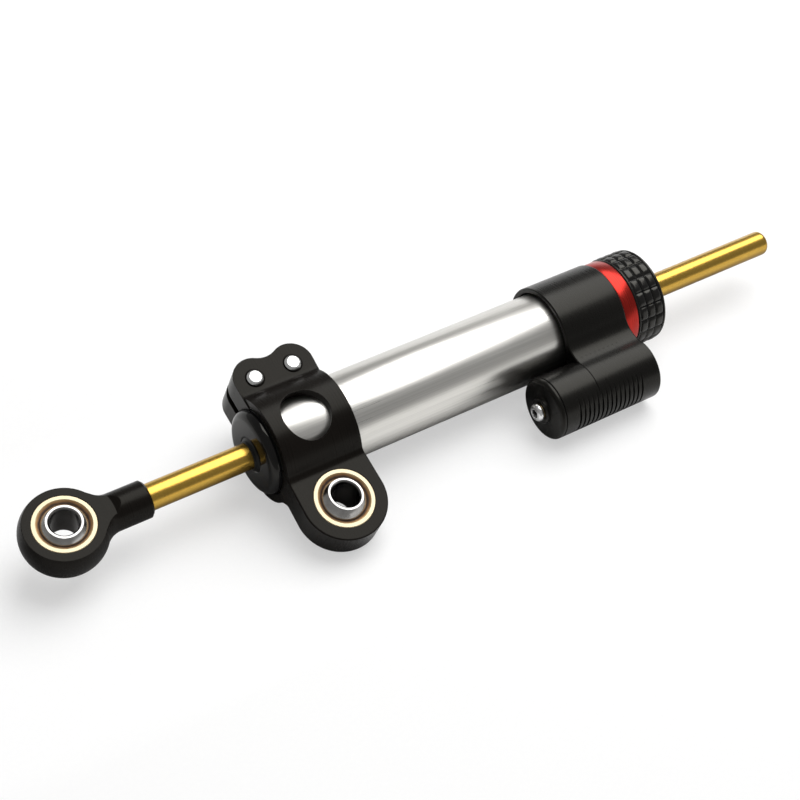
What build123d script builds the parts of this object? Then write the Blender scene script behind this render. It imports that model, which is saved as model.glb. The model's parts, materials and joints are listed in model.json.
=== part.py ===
from build123d import *
import math
import os

os.makedirs("parts", exist_ok=True)

# Motorcycle steering damper: a rod that runs right through a hydraulic tube, a split clamp on
# the tube, a housing with a reservoir beside the tube, and a click adjuster round the rod.
# Millimetres. The origin is the centre of the rod-end ball, +X runs along the rod, +Z is the
# axis of the rod-end bore, and the reservoir and the clamp's lug lie towards -Y.

# Clearances
running_gap = 0.04  # radial, between round pieces that turn or slide on each other
fit_gap = 0.02  # radial, between pieces that are pressed or screwed together
seal_gap = 0.03  # radial, between a seal's lip and the rod
face_gap = 0.1  # between end faces that turn past each other
overrun = 1.0  # how far a cut runs past the face that it starts from

# Rod and stroke
rod_dia = 8.0
stroke = 75.0
end_exposure = 5.0  # rod that still shows at each end of the stroke
rest_shift = 10.4  # the rod rests this far rearwards of the middle of its stroke
rod_tip_round = 1.6
rod_stub_step = 1.0
rod_stub_length = 9.0
rod_socket_depth = 4.5
rod_groove_depth = 0.45

# Spherical joints, alike in the rod end and in the clamp
ball_dia = 15.88
ball_width = 12.0
ball_bore_dia = 8.2
ball_bore_chamfer = 0.5
race_wall = 1.11  # at the ball's widest
race_height = 9.6
race_mouth_dia = 14.6
race_mouth_depth = 0.5
race_edge_chamfer = 0.25

# Rod end
eye_wall = 3.6
eye_bulge = 1.15
eye_width = 9.3
shank_wall = 1.6
shank_end = 25.1
shank_chamfer = 0.7
neck_fillet = 6.4
neck_bend = 38.0  # degrees of the fillet before it runs straight into the eye
neck_run = 3.0
flat_end_radius = 14.6
flat_end_rise = 1.3
flat_end_run = 2.8

# Tube and liner
tube_dia = 26.0
tube_wall = 1.3
tube_past_chamber = 2.5
bypass_gap = 1.2  # between the liner and the tube
liner_wall = 1.0
liner_front_overlap = 6.0
liner_recess = 2.0
liner_port_dia = 2.0
liner_port_count = 4
liner_port_inset = 1.2

# Piston
piston_length = 12.0
piston_end_gap = 1.5
piston_play = 0.06
piston_ring_width = 3.0
piston_ring_thickness = 1.0
piston_cord_thickness = 1.0
piston_orifice_dia = 1.2
piston_orifice_count = 6
rod_clip_thickness = 0.9
rod_clip_radial = 1.1
rod_clip_opening = 3.0
rod_clip_angles = (30.0, 150.0)

# Front gland
gland_step = 0.1  # the cap is this much smaller in radius than the tube
gland_flange = 3.8
gland_edge_round = 2.6
gland_length = 14.0
rod_hole_gap = 0.3
gland_web = 1.5
bush_wall = 2.0
seal_radial = 2.0
seal_width = 3.6
seal_lip_depth = 1.2
seal_lip_width = 0.9
wiper_radial = 1.3
wiper_lip_radial = 0.5
wiper_lip_length = 1.0
wiper_depth = 2.5

# O-rings
tube_ring_thickness = 1.2
tube_ring_inset = 2.6
gland_ring_inset = 2.4

# Housing
tube_seat_depth = 7.8
tube_mouth_chamfer = 0.7
bulkhead = 15.0
collar_wall = 2.1
collar_front_chamfer = 0.3
housing_rear_round = 0.6
rear_bush_length = 9.0
rear_seal_depth = 6.0
rear_clip_thickness = 1.0
rear_clip_bite = 0.4
rear_clip_radial = 1.6
rear_clip_opening = 4.0
rear_clip_angle = 200.0

# Reservoir, beside the collar
barrel_sink = 0.9  # the barrel reaches this far into the collar's circle
barrel_dia = 19.6
barrel_length = 35.7
barrel_wall = 2.0
barrel_floor = 3.0
web_fillet = 8.0
groove_count = 15
groove_pitch = 1.68
groove_width = 0.65
groove_depth = 0.8
groove_fade = 0.12  # keeps the grooves' ends clear of the web
groove_rear_inset = 7.0
groove_angle = 205.0

# Reservoir cap, filler screw and compensator
cap_rim = 0.9
cap_dome = 1.1
cap_dome_radial = 1.4
cap_boss_dia = 8.4
cap_boss_height = 1.2
cap_boss_lean = 0.3
cap_spigot_length = 5.0
cap_ring_inset = 1.6
cap_ring_thickness = 1.1
fill_hole_dia = 3.0
fill_screw_length = 7.0
fill_head_dia = 5.7
fill_head_height = 1.65
fill_flat_share = 0.62
fill_bulge_shares = (0.62, 0.86)
fill_rim_share = 0.15
fill_hex_width = 2.5
fill_hex_depth = 1.1
fill_seal_thickness = 0.4
fill_seal_dia = 5.2
compensator_length = 6.0
compensator_recess = 2.5
compensator_ring_inset = 2.0
compensator_recess_dia = 9.0
compensator_spring_wire = 1.0
compensator_spring_inset = 1.8
compensator_spring_turns = 4
compensator_spring_length = 10.0
compensator_play = 0.08

# Metering needle, between the collar and the reservoir
needle_port_dia = 1.6
seat_dia = 3.6
seat_length = 2.0
seat_hole_dia = 1.2
seat_mouth_dia = 2.0
seat_mouth_depth = 0.7
seat_start = 2.2
needle_tip_dia = 0.6
needle_nose_dia = 1.8
needle_tip_length = 1.5
needle_nose_length = 1.8
needle_body_length = 3.4
needle_stem_dia = 2.0
needle_collar_dia = 4.9
needle_collar_width = 1.0
needle_collar_inset = 0.8
needle_ring_width = 1.1
needle_ring_thickness = 0.65
needle_play = 0.06
needle_tip_gap = 0.4
needle_spring_wire = 0.5
needle_spring_dia = 4.8
needle_spring_turns = 3
needle_pocket_dia = 5.2
needle_pocket_depth = 4.5
cross_hole_dia = 1.6
cross_hole_inset = 9.3
return_hole_inset = 1.5

# Detent ring, coloured
ring_step = 0.4  # the ring lies this far under the collar
ring_width = 4.9
ring_chamfer = 0.2
sleeve_short = 0.2
ring_screw_count = 3
ring_screw_step = 60.0
ring_screw_land = 0.4
ring_screw_dia = 2.0
ring_screw_length = 8.0
ring_screw_head_dia = 3.8
ring_screw_head_height = 1.2
ring_screw_hex_width = 1.3
ring_screw_hex_depth = 0.7
detent_ball_dia = 1.6
detent_inset = 1.8
detent_angles = (90.0, 270.0)
detent_pocket_depth = 3.8
detent_spring_wire = 0.3
detent_spring_dia = 1.2
detent_spring_turns = 4

# Adjuster knob
knob_width = 10.6
knob_rear_wall = 3.1
knob_recess_depth = 3.0
knob_edge_chamfer = 0.4
knob_rear_land = 1.0
knob_front_land = 0.8
knurl_rows = 3
knurl_count = 20
knurl_depth = 0.55
knurl_slot_depth = 0.48
knurl_ring_width = 0.55
knob_washer_thickness = 0.7
knob_washer_play = 0.5
knob_clip_thickness = 0.9
knob_clip_bite = 0.7
knob_clip_proud = 1.5
knob_clip_opening = 4.0
knob_clip_angle = 20.0
knob_ring_inset = 2.4
knob_ring_thickness = 0.9
rear_wiper_depth = 2.2
click_angle = 12.0
clicks_each_way = 12
click_rise = 0.05
cam_mid_depth = 0.8
cam_width = 2.6
cam_land = 0.8
cam_gap = 0.06
dimple_dia = 1.2
dimple_depth = 0.25

# Clamp
clamp_roll = 8.8  # turn of the clamp about the tube, in degrees
clamp_width = 24.5
clamp_flare = 0.5  # the ears and the lug are this much wider than the band, on each side
clamp_lead = 0.6  # the clamp's front face stands this far in front of the tube's end
clamp_wall = 3.05
slit_width = 3.0
ear_half_height = 9.0
bolt_spacing = 12.5
bolt_land = 2.4  # between the bolts and the tube
ear_dip_fillet = 6.9
bolt_dia = 5.0
bolt_length = 20.0
bolt_head_dia = 8.5
bolt_head_height = 5.0
bolt_hex_width = 4.0
bolt_hex_depth = 2.6
bolt_end_chamfer = 0.7
bolt_head_chamfer = 0.4
bolt_hole_chamfer = 0.4
washer_dia = 10.0
washer_thickness = 1.0
washer_seat_gap = 0.2
window_length = 14.6
window_breadth = 15.8
window_lead = 0.6  # the window lies this far in front of the band's middle
ear_blend = 3.0  # concave round between the band and the ears
lug_bridge = 3.05  # between the tube and the race in the lug
lug_rise = 3.2  # height of the lug's middle over the tube's axis
lug_thickness = 9.3
lug_edge_chamfer = 0.3
lug_blend = 6.0  # concave round between the band and the lug's underside
lug_top_blend = 3.4
clamp_bore_chamfer = 0.5
clamp_ball_tilt = 7.7
clamp_ball_heading = 48.6  # of the tilt, from +X towards the ears, in degrees

# Sizes that follow the rod
rod_radius = rod_dia / 2
rod_lip_radius = rod_radius + seal_gap
rod_stub_dia = rod_dia - 2 * rod_stub_step
rod_clip_dia = rod_dia + 2 * rod_clip_radial
rod_hole_dia = rod_dia + 2 * rod_hole_gap
shank_dia = rod_dia + 2 * shank_wall
bush_dia = rod_dia + 2 * bush_wall
seal_dia = rod_dia + 2 * seal_radial
wiper_dia = rod_dia + 2 * wiper_radial
wiper_lip_dia = rod_dia + 2 * wiper_lip_radial

# Sizes that follow the ball
race_dia = ball_dia + 2 * race_wall
eye_dia = race_dia + 2 * eye_wall
eye_face_dia = eye_dia - 2 * eye_bulge

# Sizes that follow the tube
tube_inner_radius = tube_dia / 2 - tube_wall
liner_dia = 2 * (tube_inner_radius - bypass_gap)
liner_inner_radius = liner_dia / 2 - liner_wall
gland_dia = tube_dia - 2 * gland_step
collar_dia = tube_dia + 2 * collar_wall
collar_radius = collar_dia / 2
ring_dia = collar_dia - 2 * ring_step
knob_dia = collar_dia
knob_recess_dia = knob_dia - 2 * knob_rear_wall
knob_washer_dia = knob_recess_dia - 2 * knob_washer_play
detent_ball_radius = knob_dia / 2 - detent_inset
needle_axis_radius = (tube_inner_radius + liner_dia / 2) / 2
return_hole_radius = liner_inner_radius - return_hole_inset
sleeve_dia = 2 * (needle_axis_radius - cam_width / 2 - cam_land)
knob_clip_dia = sleeve_dia + 2 * knob_clip_proud
ring_screw_radius = (sleeve_dia + ring_screw_head_dia) / 2 + ring_screw_land
bolt_reach = (tube_dia + bolt_dia) / 2 + bolt_land
lug_reach = (tube_dia + race_dia) / 2 + lug_bridge

# Sizes that follow the barrel
barrel_radius = barrel_dia / 2
reservoir_offset = collar_radius + barrel_radius - barrel_sink
barrel_bore_dia = barrel_dia - 2 * barrel_wall
cap_face_dia = barrel_dia - 2 * cap_dome_radial
compensator_spring_dia = barrel_bore_dia - 2 * compensator_spring_inset

# Stations along X, worked out from the sizes
half_stroke = stroke / 2
wiper_front = shank_end + end_exposure + half_stroke - rest_shift
gland_front = wiper_front + wiper_lip_length
tube_front = gland_front + gland_flange
chamber_front = tube_front + gland_length
chamber_rear = chamber_front + stroke + piston_length + 2 * piston_end_gap
tube_rear = chamber_rear + tube_past_chamber
collar_front = tube_rear - tube_seat_depth
housing_rear = tube_rear + bulkhead
ring_rear = housing_rear + ring_width
knob_front = ring_rear + face_gap
knob_rear = knob_front + knob_width
rod_tip = knob_rear + end_exposure + half_stroke + rest_shift
piston_middle = (chamber_front + chamber_rear) / 2 + rest_shift
piston_front = piston_middle - piston_length / 2
piston_rear = piston_middle + piston_length / 2
barrel_front = housing_rear - barrel_length
clamp_front = tube_front - clamp_lead
clamp_middle = clamp_front + clamp_width / 2


def turned(*points):
    """Solid turned about the X axis from (x, radius) points."""
    return revolve(make_face(Polyline(*points, close=True)), Axis.X)


def disc(start, end, outer, inner=0):
    """Plain round piece along X between two stations, with an optional bore."""
    return turned((start, inner), (start, outer), (end, outer), (end, inner))


def rod_x(start, end, radius, y=0, z=0):
    """Cylinder along X at a place beside the axis."""
    aligned = (Align.CENTER, Align.CENTER, Align.MIN)
    return Pos(start, y, z) * Rot(0, 90, 0) * Cylinder(radius, end - start, align=aligned)


def rod_z(bottom, top, radius, x=0, y=0):
    """Cylinder along Z."""
    aligned = (Align.CENTER, Align.CENTER, Align.MIN)
    return Pos(x, y, bottom) * Cylinder(radius, top - bottom, align=aligned)


def cone_z(bottom, top, bottom_radius, top_radius, x=0, y=0):
    """Cone along Z."""
    aligned = (Align.CENTER, Align.CENTER, Align.MIN)
    return Pos(x, y, bottom) * Cone(bottom_radius, top_radius, top - bottom, align=aligned)


def hex_prism_z(bottom, top, width, x=0, y=0):
    """Hexagonal prism along Z with its size across the flats."""
    outline = RegularPolygon(width / math.sqrt(3), 6)
    return Pos(x, y, bottom) * extrude(outline, amount=top - bottom)


def around(part, angle):
    """A piece turned about the X axis."""
    return Rot(angle, 0, 0) * part


def coil(start, end, mean_radius, wire, turns, y=0, z=0):
    """Round-wire spring along X, standing between two seats."""
    low = start + wire / 2
    high = end - wire / 2
    pitch = (high - low) / turns
    path = Helix(pitch, high - low, mean_radius)
    section = Plane(origin=path @ 0, z_dir=path % 0) * Circle(wire / 2)
    return Pos(low, y, z) * Rot(0, 90, 0) * sweep(section, path)


def cord_ring(middle, width, inner, outer):
    """O-ring section with flattened sides, seated in its groove."""
    radial = (outer - inner) / 2
    bend = min(radial, width / 2) / 2
    section = Pos(middle, (inner + outer) / 2) * RectangleRounded(width, 2 * radial, bend)
    return revolve(section, Axis.X)


def snap_ring(start, end, inner, outer, opening, angle):
    """Retaining ring with a gap, turned to an angle about the rod."""
    ring = disc(start, end, outer, inner)
    middle = (start + end) / 2
    gap = Pos(middle, 0, outer) * Box(end - start + overrun, opening, 2 * outer)
    return around(ring - gap, angle)


def ball():
    """Ball of a spherical joint, standing on its bore's axis Z."""
    radius = ball_dia / 2
    half = ball_width / 2
    bore = ball_bore_dia / 2
    piece = Sphere(radius) & rod_z(-half, half, radius)
    piece -= rod_z(-half - overrun, half + overrun, bore)
    wide = bore + ball_bore_chamfer
    piece -= cone_z(half - ball_bore_chamfer, half, bore, wide)
    piece -= cone_z(-half, -half + ball_bore_chamfer, wide, bore)
    return piece


def race():
    """Bearing ring that holds the ball, chamfered at its rims and open at its mouths."""
    half = race_height / 2
    outer = race_dia / 2
    mouth = race_mouth_dia / 2
    seat = ball_dia / 2 + running_gap
    narrow = math.sqrt(seat**2 - (half - race_mouth_depth) ** 2)
    piece = rod_z(-half, half, outer) - Sphere(seat)
    piece -= cone_z(half - race_mouth_depth, half, narrow, mouth)
    piece -= cone_z(-half, -half + race_mouth_depth, mouth, narrow)
    rims = piece.edges().filter_by(GeomType.CIRCLE).group_by(SortBy.RADIUS)[-1]
    return chamfer(rims, race_edge_chamfer)


def rod_end_housing():
    """Eye with bulged sides, filleted neck with milled flats, and round shank."""
    half = eye_width / 2
    face = eye_face_dia / 2
    middle = eye_dia / 2
    shank = shank_dia / 2
    rise = shank + neck_fillet
    neck_end = math.sqrt((middle + neck_fillet) ** 2 - rise**2)
    turn = math.radians(neck_bend)
    bend_x = neck_end - neck_fillet * math.sin(turn)
    bend_y = rise - neck_fillet * math.cos(turn)
    inner_x = bend_x - neck_run * math.cos(turn)
    inner_y = bend_y + neck_run * math.sin(turn)
    halfway_x = neck_end - neck_fillet * math.sin(turn / 2)
    halfway_y = rise - neck_fillet * math.cos(turn / 2)
    side = ThreePointArc((face, -half), (middle, 0), (face, half))
    rest = Polyline((face, half), (0, half), (0, -half), (face, -half))
    eye = revolve(Plane.XZ * make_face([side, *rest.edges()]), Axis.Z)
    bend = ThreePointArc((bend_x, bend_y), (halfway_x, halfway_y), (neck_end, shank))
    outline = Polyline(
        (neck_end, shank),
        (shank_end - shank_chamfer, shank),
        (shank_end, shank - shank_chamfer),
        (shank_end, 0),
        (inner_x, 0),
        (inner_x, inner_y),
        (bend_x, bend_y),
    )
    neck = revolve(make_face([bend, *outline.edges()]), Axis.X)
    far = flat_end_radius + flat_end_run
    top = half + flat_end_rise
    corners = ((0, half), (flat_end_radius, half), (far, top), (far, middle), (0, middle))
    upper = revolve(Plane.XZ * make_face(Polyline(*corners, close=True)), Axis.Z)
    piece = eye + (neck - upper - mirror(upper, Plane.XY))
    piece -= rod_z(-half - overrun, half + overrun, race_dia / 2 + running_gap)
    piece -= rod_x(shank_end - rod_socket_depth, shank_end + overrun, rod_radius + fit_gap)
    stub_end = shank_end - rod_socket_depth - rod_stub_length
    piece -= rod_x(stub_end, shank_end, rod_stub_dia / 2 + fit_gap)
    return piece


def piston_rod():
    """Rod right through the damper, with its threaded stub, clip grooves and rounded tip."""
    stub_front = shank_end - rod_socket_depth - rod_stub_length + face_gap
    shoulder = shank_end - rod_socket_depth
    rod = disc(shoulder, rod_tip, rod_radius)
    rod = fillet(rod.edges().filter_by(GeomType.CIRCLE).sort_by(Axis.X)[-1], rod_tip_round)
    rod += disc(stub_front, shoulder + overrun, rod_stub_dia / 2)
    floor = rod_radius - rod_groove_depth
    wide = rod_radius + overrun
    for start in (piston_front - rod_clip_thickness - fit_gap, piston_rear):
        rod -= disc(start, start + rod_clip_thickness + fit_gap, wide, floor)
    return rod


def rod_clips():
    """Two snap rings in the rod's grooves, one each side of the piston."""
    inner = rod_radius - rod_groove_depth + fit_gap
    outer = rod_clip_dia / 2
    front = piston_front - rod_clip_thickness
    first, second = rod_clip_angles
    clips = snap_ring(front - fit_gap / 2, piston_front - fit_gap / 2, inner, outer, rod_clip_opening, first)
    start = piston_rear + fit_gap / 2
    clips += snap_ring(start, start + rod_clip_thickness, inner, outer, rod_clip_opening, second)
    return clips


def piston_groove():
    """Middle, half width and floor radius of the piston's ring groove."""
    half = piston_ring_width / 2 + fit_gap
    floor = liner_inner_radius - running_gap - piston_ring_thickness - piston_cord_thickness - 2 * fit_gap
    return piston_middle, half, floor


def piston():
    """Piston with a ring groove and through orifices."""
    radius = liner_inner_radius - running_gap - piston_play
    middle, half, floor = piston_groove()
    body = disc(piston_front + fit_gap, piston_rear - fit_gap, radius, rod_radius + running_gap)
    body -= disc(middle - half, middle + half, radius + overrun, floor)
    between = (rod_radius + floor) / 2
    for step in range(piston_orifice_count):
        hole = rod_x(piston_front - overrun, piston_rear + overrun, piston_orifice_dia / 2, between)
        body -= around(hole, step * 360 / piston_orifice_count)
    return body


def piston_ring():
    """Slide band round the piston."""
    outer = liner_inner_radius - running_gap
    middle, half, floor = piston_groove()
    return disc(middle - half + fit_gap, middle + half - fit_gap, outer, outer - piston_ring_thickness)


def piston_o_ring():
    """O-ring under the slide band."""
    middle, half, floor = piston_groove()
    outer = floor + fit_gap + piston_cord_thickness
    return cord_ring(middle, 2 * (half - fit_gap), floor + fit_gap, outer)


def main_tube():
    """Outer tube."""
    return disc(tube_front, tube_rear, tube_dia / 2, tube_inner_radius)


def cylinder_liner():
    """Inner cylinder with ports to the bypass gap round it."""
    start = chamber_front - liner_front_overlap
    liner = disc(start, tube_rear + liner_recess, liner_dia / 2, liner_inner_radius)
    x = chamber_front + liner_port_inset + liner_port_dia / 2
    for step in range(liner_port_count):
        port = rod_z(0, liner_dia, liner_port_dia / 2, x)
        liner -= around(port, step * 360 / liner_port_count)
    return liner


def gland_pockets():
    """Stations of the front gland: wiper floor, seal front and bush front."""
    wiper_floor = gland_front + wiper_depth
    seal_front = wiper_floor + gland_web
    return wiper_floor, seal_front, seal_front + seal_width


def gland_ring_groove():
    """Middle and width of the gland's O-ring groove."""
    width = tube_ring_thickness + 4 * fit_gap
    return tube_front + gland_ring_inset + width / 2, width


def front_gland():
    """Rod guide that closes the tube's front end, with a domed flange."""
    wiper_floor, seal_front, bush_front = gland_pockets()
    flange = disc(gland_front, tube_front, gland_dia / 2)
    flange = fillet(flange.edges().filter_by(GeomType.CIRCLE).sort_by(Axis.X)[0], gland_edge_round)
    shoulder = chamber_front - liner_front_overlap
    body = flange + disc(tube_front, shoulder, tube_inner_radius - fit_gap)
    body += disc(shoulder, chamber_front, liner_inner_radius - fit_gap)
    middle, width = gland_ring_groove()
    floor = tube_inner_radius - tube_ring_thickness
    body -= disc(middle - width / 2, middle + width / 2, tube_inner_radius + overrun, floor)
    body -= disc(gland_front - overrun, chamber_front + overrun, rod_hole_dia / 2)
    body -= disc(gland_front - overrun, wiper_floor, wiper_dia / 2 + fit_gap)
    body -= disc(seal_front, bush_front, seal_dia / 2 + fit_gap)
    body -= disc(bush_front, chamber_front + overrun, bush_dia / 2 + fit_gap)
    return body


def front_gland_o_ring():
    """O-ring between the gland and the tube."""
    middle, width = gland_ring_groove()
    inner = tube_inner_radius - tube_ring_thickness + fit_gap
    return cord_ring(middle, tube_ring_thickness, inner, tube_inner_radius - fit_gap)


def lip_seal(start, end, outer):
    """Rod seal with a lip groove in its pressure side, towards -X."""
    lip_mid = (rod_lip_radius + outer) / 2
    low = lip_mid - seal_lip_width / 2
    high = lip_mid + seal_lip_width / 2
    ring = disc(start, end, outer, rod_lip_radius)
    return ring - turned((start, low), (start + seal_lip_depth, lip_mid), (start, high))


def front_rod_seal():
    """Seal round the rod in the gland, with its lips towards the oil."""
    _, seal_front, bush_front = gland_pockets()
    seal = lip_seal(-bush_front + fit_gap, -seal_front - fit_gap, seal_dia / 2)
    return mirror(seal, Plane.YZ)


def front_rod_bush():
    """Guide bush of the gland."""
    _, _, bush_front = gland_pockets()
    return disc(bush_front, chamber_front, bush_dia / 2, rod_radius + running_gap)


def wiper(lip_x, face_x, floor_x):
    """Wiper with a conical lip outside its pocket."""
    return turned(
        (lip_x, rod_lip_radius),
        (lip_x, wiper_lip_dia / 2),
        (face_x, wiper_dia / 2),
        (floor_x, wiper_dia / 2),
        (floor_x, rod_lip_radius),
    )


def fillet_centre():
    """Centre of the concave blend between the collar and the barrel, in Y and Z."""
    near = collar_radius + web_fillet
    far = barrel_radius + web_fillet
    along = (near**2 - far**2 + reservoir_offset**2) / (2 * reservoir_offset)
    return -along, math.sqrt(near**2 - along**2)


def housing_outline():
    """Section of the housing across the rod: two circles and the web between them."""
    y, z = fillet_centre()
    near = collar_radius / (collar_radius + web_fillet)
    far = barrel_radius / (barrel_radius + web_fillet)
    near_y, near_z = y * near, z * near
    far_y = -reservoir_offset + (y + reservoir_offset) * far
    far_z = z * far
    corners = ((near_y, near_z), (far_y, far_z), (far_y, -far_z), (near_y, -near_z))
    web = make_face(Polyline(*corners, close=True))
    web -= Pos(y, z) * Circle(web_fillet)
    web -= Pos(y, -z) * Circle(web_fillet)
    return Circle(collar_radius) + Pos(-reservoir_offset, 0) * Circle(barrel_radius) + web


def cooling_grooves():
    """Round grooves that run out towards the top of the barrel."""
    shift = groove_depth + groove_fade
    angle = math.radians(groove_angle)
    core_y = -reservoir_offset - shift * math.cos(angle)
    shift_z = -shift * math.sin(angle)
    last = housing_rear - groove_rear_inset - groove_width
    cuts = []
    for step in range(groove_count):
        start = last - step * groove_pitch
        end = start + groove_width
        outer = rod_x(start, end, barrel_radius + overrun, -reservoir_offset)
        core = rod_x(start - overrun, end + overrun, barrel_radius + groove_fade, core_y, shift_z)
        cuts.append(outer - core)
    return cuts


def rear_seal_stations():
    """Floor of the rear seal pocket and front of its clip."""
    floor = housing_rear - rear_seal_depth
    return floor, floor + seal_width


def rear_housing():
    """Collar, bulkhead and reservoir barrel in one piece, with their bores and oil ways."""
    body = extrude(Plane.YZ.offset(collar_front) * housing_outline(), amount=housing_rear - collar_front)
    front = body.edges().filter_by(GeomType.CIRCLE).group_by(Axis.X)[0].sort_by(Axis.Y)[-1]
    body = chamfer(front, collar_front_chamfer)
    body = fillet(body.faces().sort_by(Axis.X)[-1].outer_wire().edges(), housing_rear_round)
    body += rod_x(barrel_front, collar_front, barrel_radius, -reservoir_offset)
    body -= cooling_grooves()
    seat = tube_dia / 2 + fit_gap
    wide = seat + tube_mouth_chamfer
    mouth_end = collar_front + tube_mouth_chamfer
    body -= disc(collar_front - overrun, tube_rear, seat)
    body -= turned((collar_front, 0), (collar_front, wide), (mouth_end, seat), (tube_rear, 0))
    body += disc(chamber_rear, tube_rear + liner_recess, liner_inner_radius - fit_gap)
    body -= disc(tube_rear, tube_rear + liner_recess, liner_dia / 2 + fit_gap, liner_inner_radius - fit_gap)
    ring_mid, ring_half = tube_ring_groove()
    body -= disc(ring_mid - ring_half, ring_mid + ring_half, seat + tube_ring_thickness, seat - overrun)
    body -= disc(chamber_rear - overrun, housing_rear + overrun, rod_hole_dia / 2)
    body -= disc(chamber_rear - overrun, chamber_rear + rear_bush_length, bush_dia / 2 + fit_gap)
    floor, clip_front = rear_seal_stations()
    body -= disc(floor, housing_rear + overrun, seal_dia / 2 + fit_gap)
    clip_radius = seal_dia / 2 + rear_clip_bite
    body -= disc(clip_front, clip_front + rear_clip_thickness + fit_gap, clip_radius)
    body -= rod_x(barrel_front - overrun, housing_rear - barrel_floor, barrel_bore_dia / 2, -reservoir_offset)
    return body - [needle_bores(), *ring_screw_bores()]


def needle_bores():
    """Oil ways and needle bore in the bulkhead."""
    y = -needle_axis_radius
    seat_front = tube_rear + seat_start
    bore = rod_x(tube_rear - overrun, seat_front + overrun, needle_port_dia / 2, y)
    bore += rod_x(seat_front, housing_rear + overrun, seat_dia / 2 + fit_gap, y)
    bore += rod_x(housing_rear - needle_pocket_depth, housing_rear + overrun, needle_pocket_dia / 2, y)
    x = housing_rear - cross_hole_inset
    across = reservoir_offset - return_hole_radius
    aligned = (Align.CENTER, Align.CENTER, Align.MIN)
    across_hole = Cylinder(cross_hole_dia / 2, across, align=aligned)
    bore += Pos(x, -return_hole_radius, 0) * Rot(90, 0, 0) * across_hole
    bore += rod_x(chamber_rear - overrun, x + cross_hole_dia / 2, cross_hole_dia / 2, -return_hole_radius)
    return bore


def ring_screw_angles():
    """Angles of the detent ring's screws about the rod."""
    first = -ring_screw_step * (ring_screw_count - 1) / 2
    return [first + step * ring_screw_step for step in range(ring_screw_count)]


def ring_screw_bores():
    """Threaded holes for the detent ring's screws."""
    depth = ring_screw_length - ring_width + overrun
    radius = ring_screw_dia / 2 + fit_gap
    hole = rod_x(housing_rear - depth, housing_rear + overrun, radius, ring_screw_radius)
    return [around(hole, angle) for angle in ring_screw_angles()]


def tube_ring_groove():
    """Middle and half width of the O-ring groove round the tube's rear end."""
    half = tube_ring_thickness / 2 + 2 * fit_gap
    return tube_rear - tube_ring_inset - half, half


def tube_o_ring():
    """O-ring between the tube and the housing."""
    middle, half = tube_ring_groove()
    inner = tube_dia / 2 + fit_gap
    return cord_ring(middle, tube_ring_thickness, inner, inner + tube_ring_thickness - fit_gap)


def rear_rod_bush():
    """Guide bush of the bulkhead."""
    return disc(chamber_rear, chamber_rear + rear_bush_length, bush_dia / 2, rod_radius + running_gap)


def rear_rod_seal():
    """Seal round the rod behind the bulkhead."""
    floor, clip_front = rear_seal_stations()
    return lip_seal(floor, clip_front - fit_gap, seal_dia / 2)


def rear_seal_clip():
    """Inside snap ring that keeps the rear seal."""
    _, clip_front = rear_seal_stations()
    outer = seal_dia / 2 + rear_clip_bite - fit_gap
    end = clip_front + rear_clip_thickness
    inner = outer - rear_clip_radial
    return snap_ring(clip_front, end, inner, outer, rear_clip_opening, rear_clip_angle)


def cap_ring_groove():
    """Middle and width of the reservoir cap's O-ring groove."""
    width = cap_ring_thickness + 4 * fit_gap
    return barrel_front + cap_ring_inset + width / 2, width


def cap_face():
    """Stations of the cap's rim, flat face and boss."""
    rim = barrel_front - cap_rim
    face = rim - cap_dome
    return rim, face, face - cap_boss_height


def reservoir_cap():
    """Domed cap with a boss for the filler screw and a spigot in the barrel."""
    rim, face, boss = cap_face()
    halfway = math.radians(45)
    halfway_x = rim - cap_dome * math.sin(halfway)
    halfway_r = cap_face_dia / 2 + cap_dome_radial * math.cos(halfway)
    shoulder = ThreePointArc((rim, barrel_radius), (halfway_x, halfway_r), (face, cap_face_dia / 2))
    spigot = barrel_bore_dia / 2 - fit_gap
    spigot_end = barrel_front + cap_spigot_length
    rest = Polyline(
        (face, cap_face_dia / 2),
        (face, cap_boss_dia / 2),
        (boss, cap_boss_dia / 2 - cap_boss_lean),
        (boss, 0),
        (spigot_end, 0),
        (spigot_end, spigot),
        (barrel_front, spigot),
        (barrel_front, barrel_radius),
        (rim, barrel_radius),
    )
    body = revolve(make_face([shoulder, *rest.edges()]), Axis.X)
    middle, width = cap_ring_groove()
    body -= disc(middle - width / 2, middle + width / 2, spigot + overrun, spigot - cap_ring_thickness)
    body -= disc(boss - overrun, spigot_end + overrun, fill_hole_dia / 2 + fit_gap)
    return Pos(0, -reservoir_offset, 0) * body


def reservoir_cap_o_ring():
    """O-ring round the cap's spigot."""
    middle, width = cap_ring_groove()
    outer = barrel_bore_dia / 2 - fit_gap
    ring = cord_ring(middle, cap_ring_thickness, outer - cap_ring_thickness + fit_gap, outer)
    return Pos(0, -reservoir_offset, 0) * ring


def fill_screw_seal():
    """Sealing washer under the filler screw's head."""
    _, _, boss = cap_face()
    ring = disc(boss - fill_seal_thickness, boss, fill_seal_dia / 2, fill_hole_dia / 2 + fit_gap)
    return Pos(0, -reservoir_offset, 0) * ring


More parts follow.
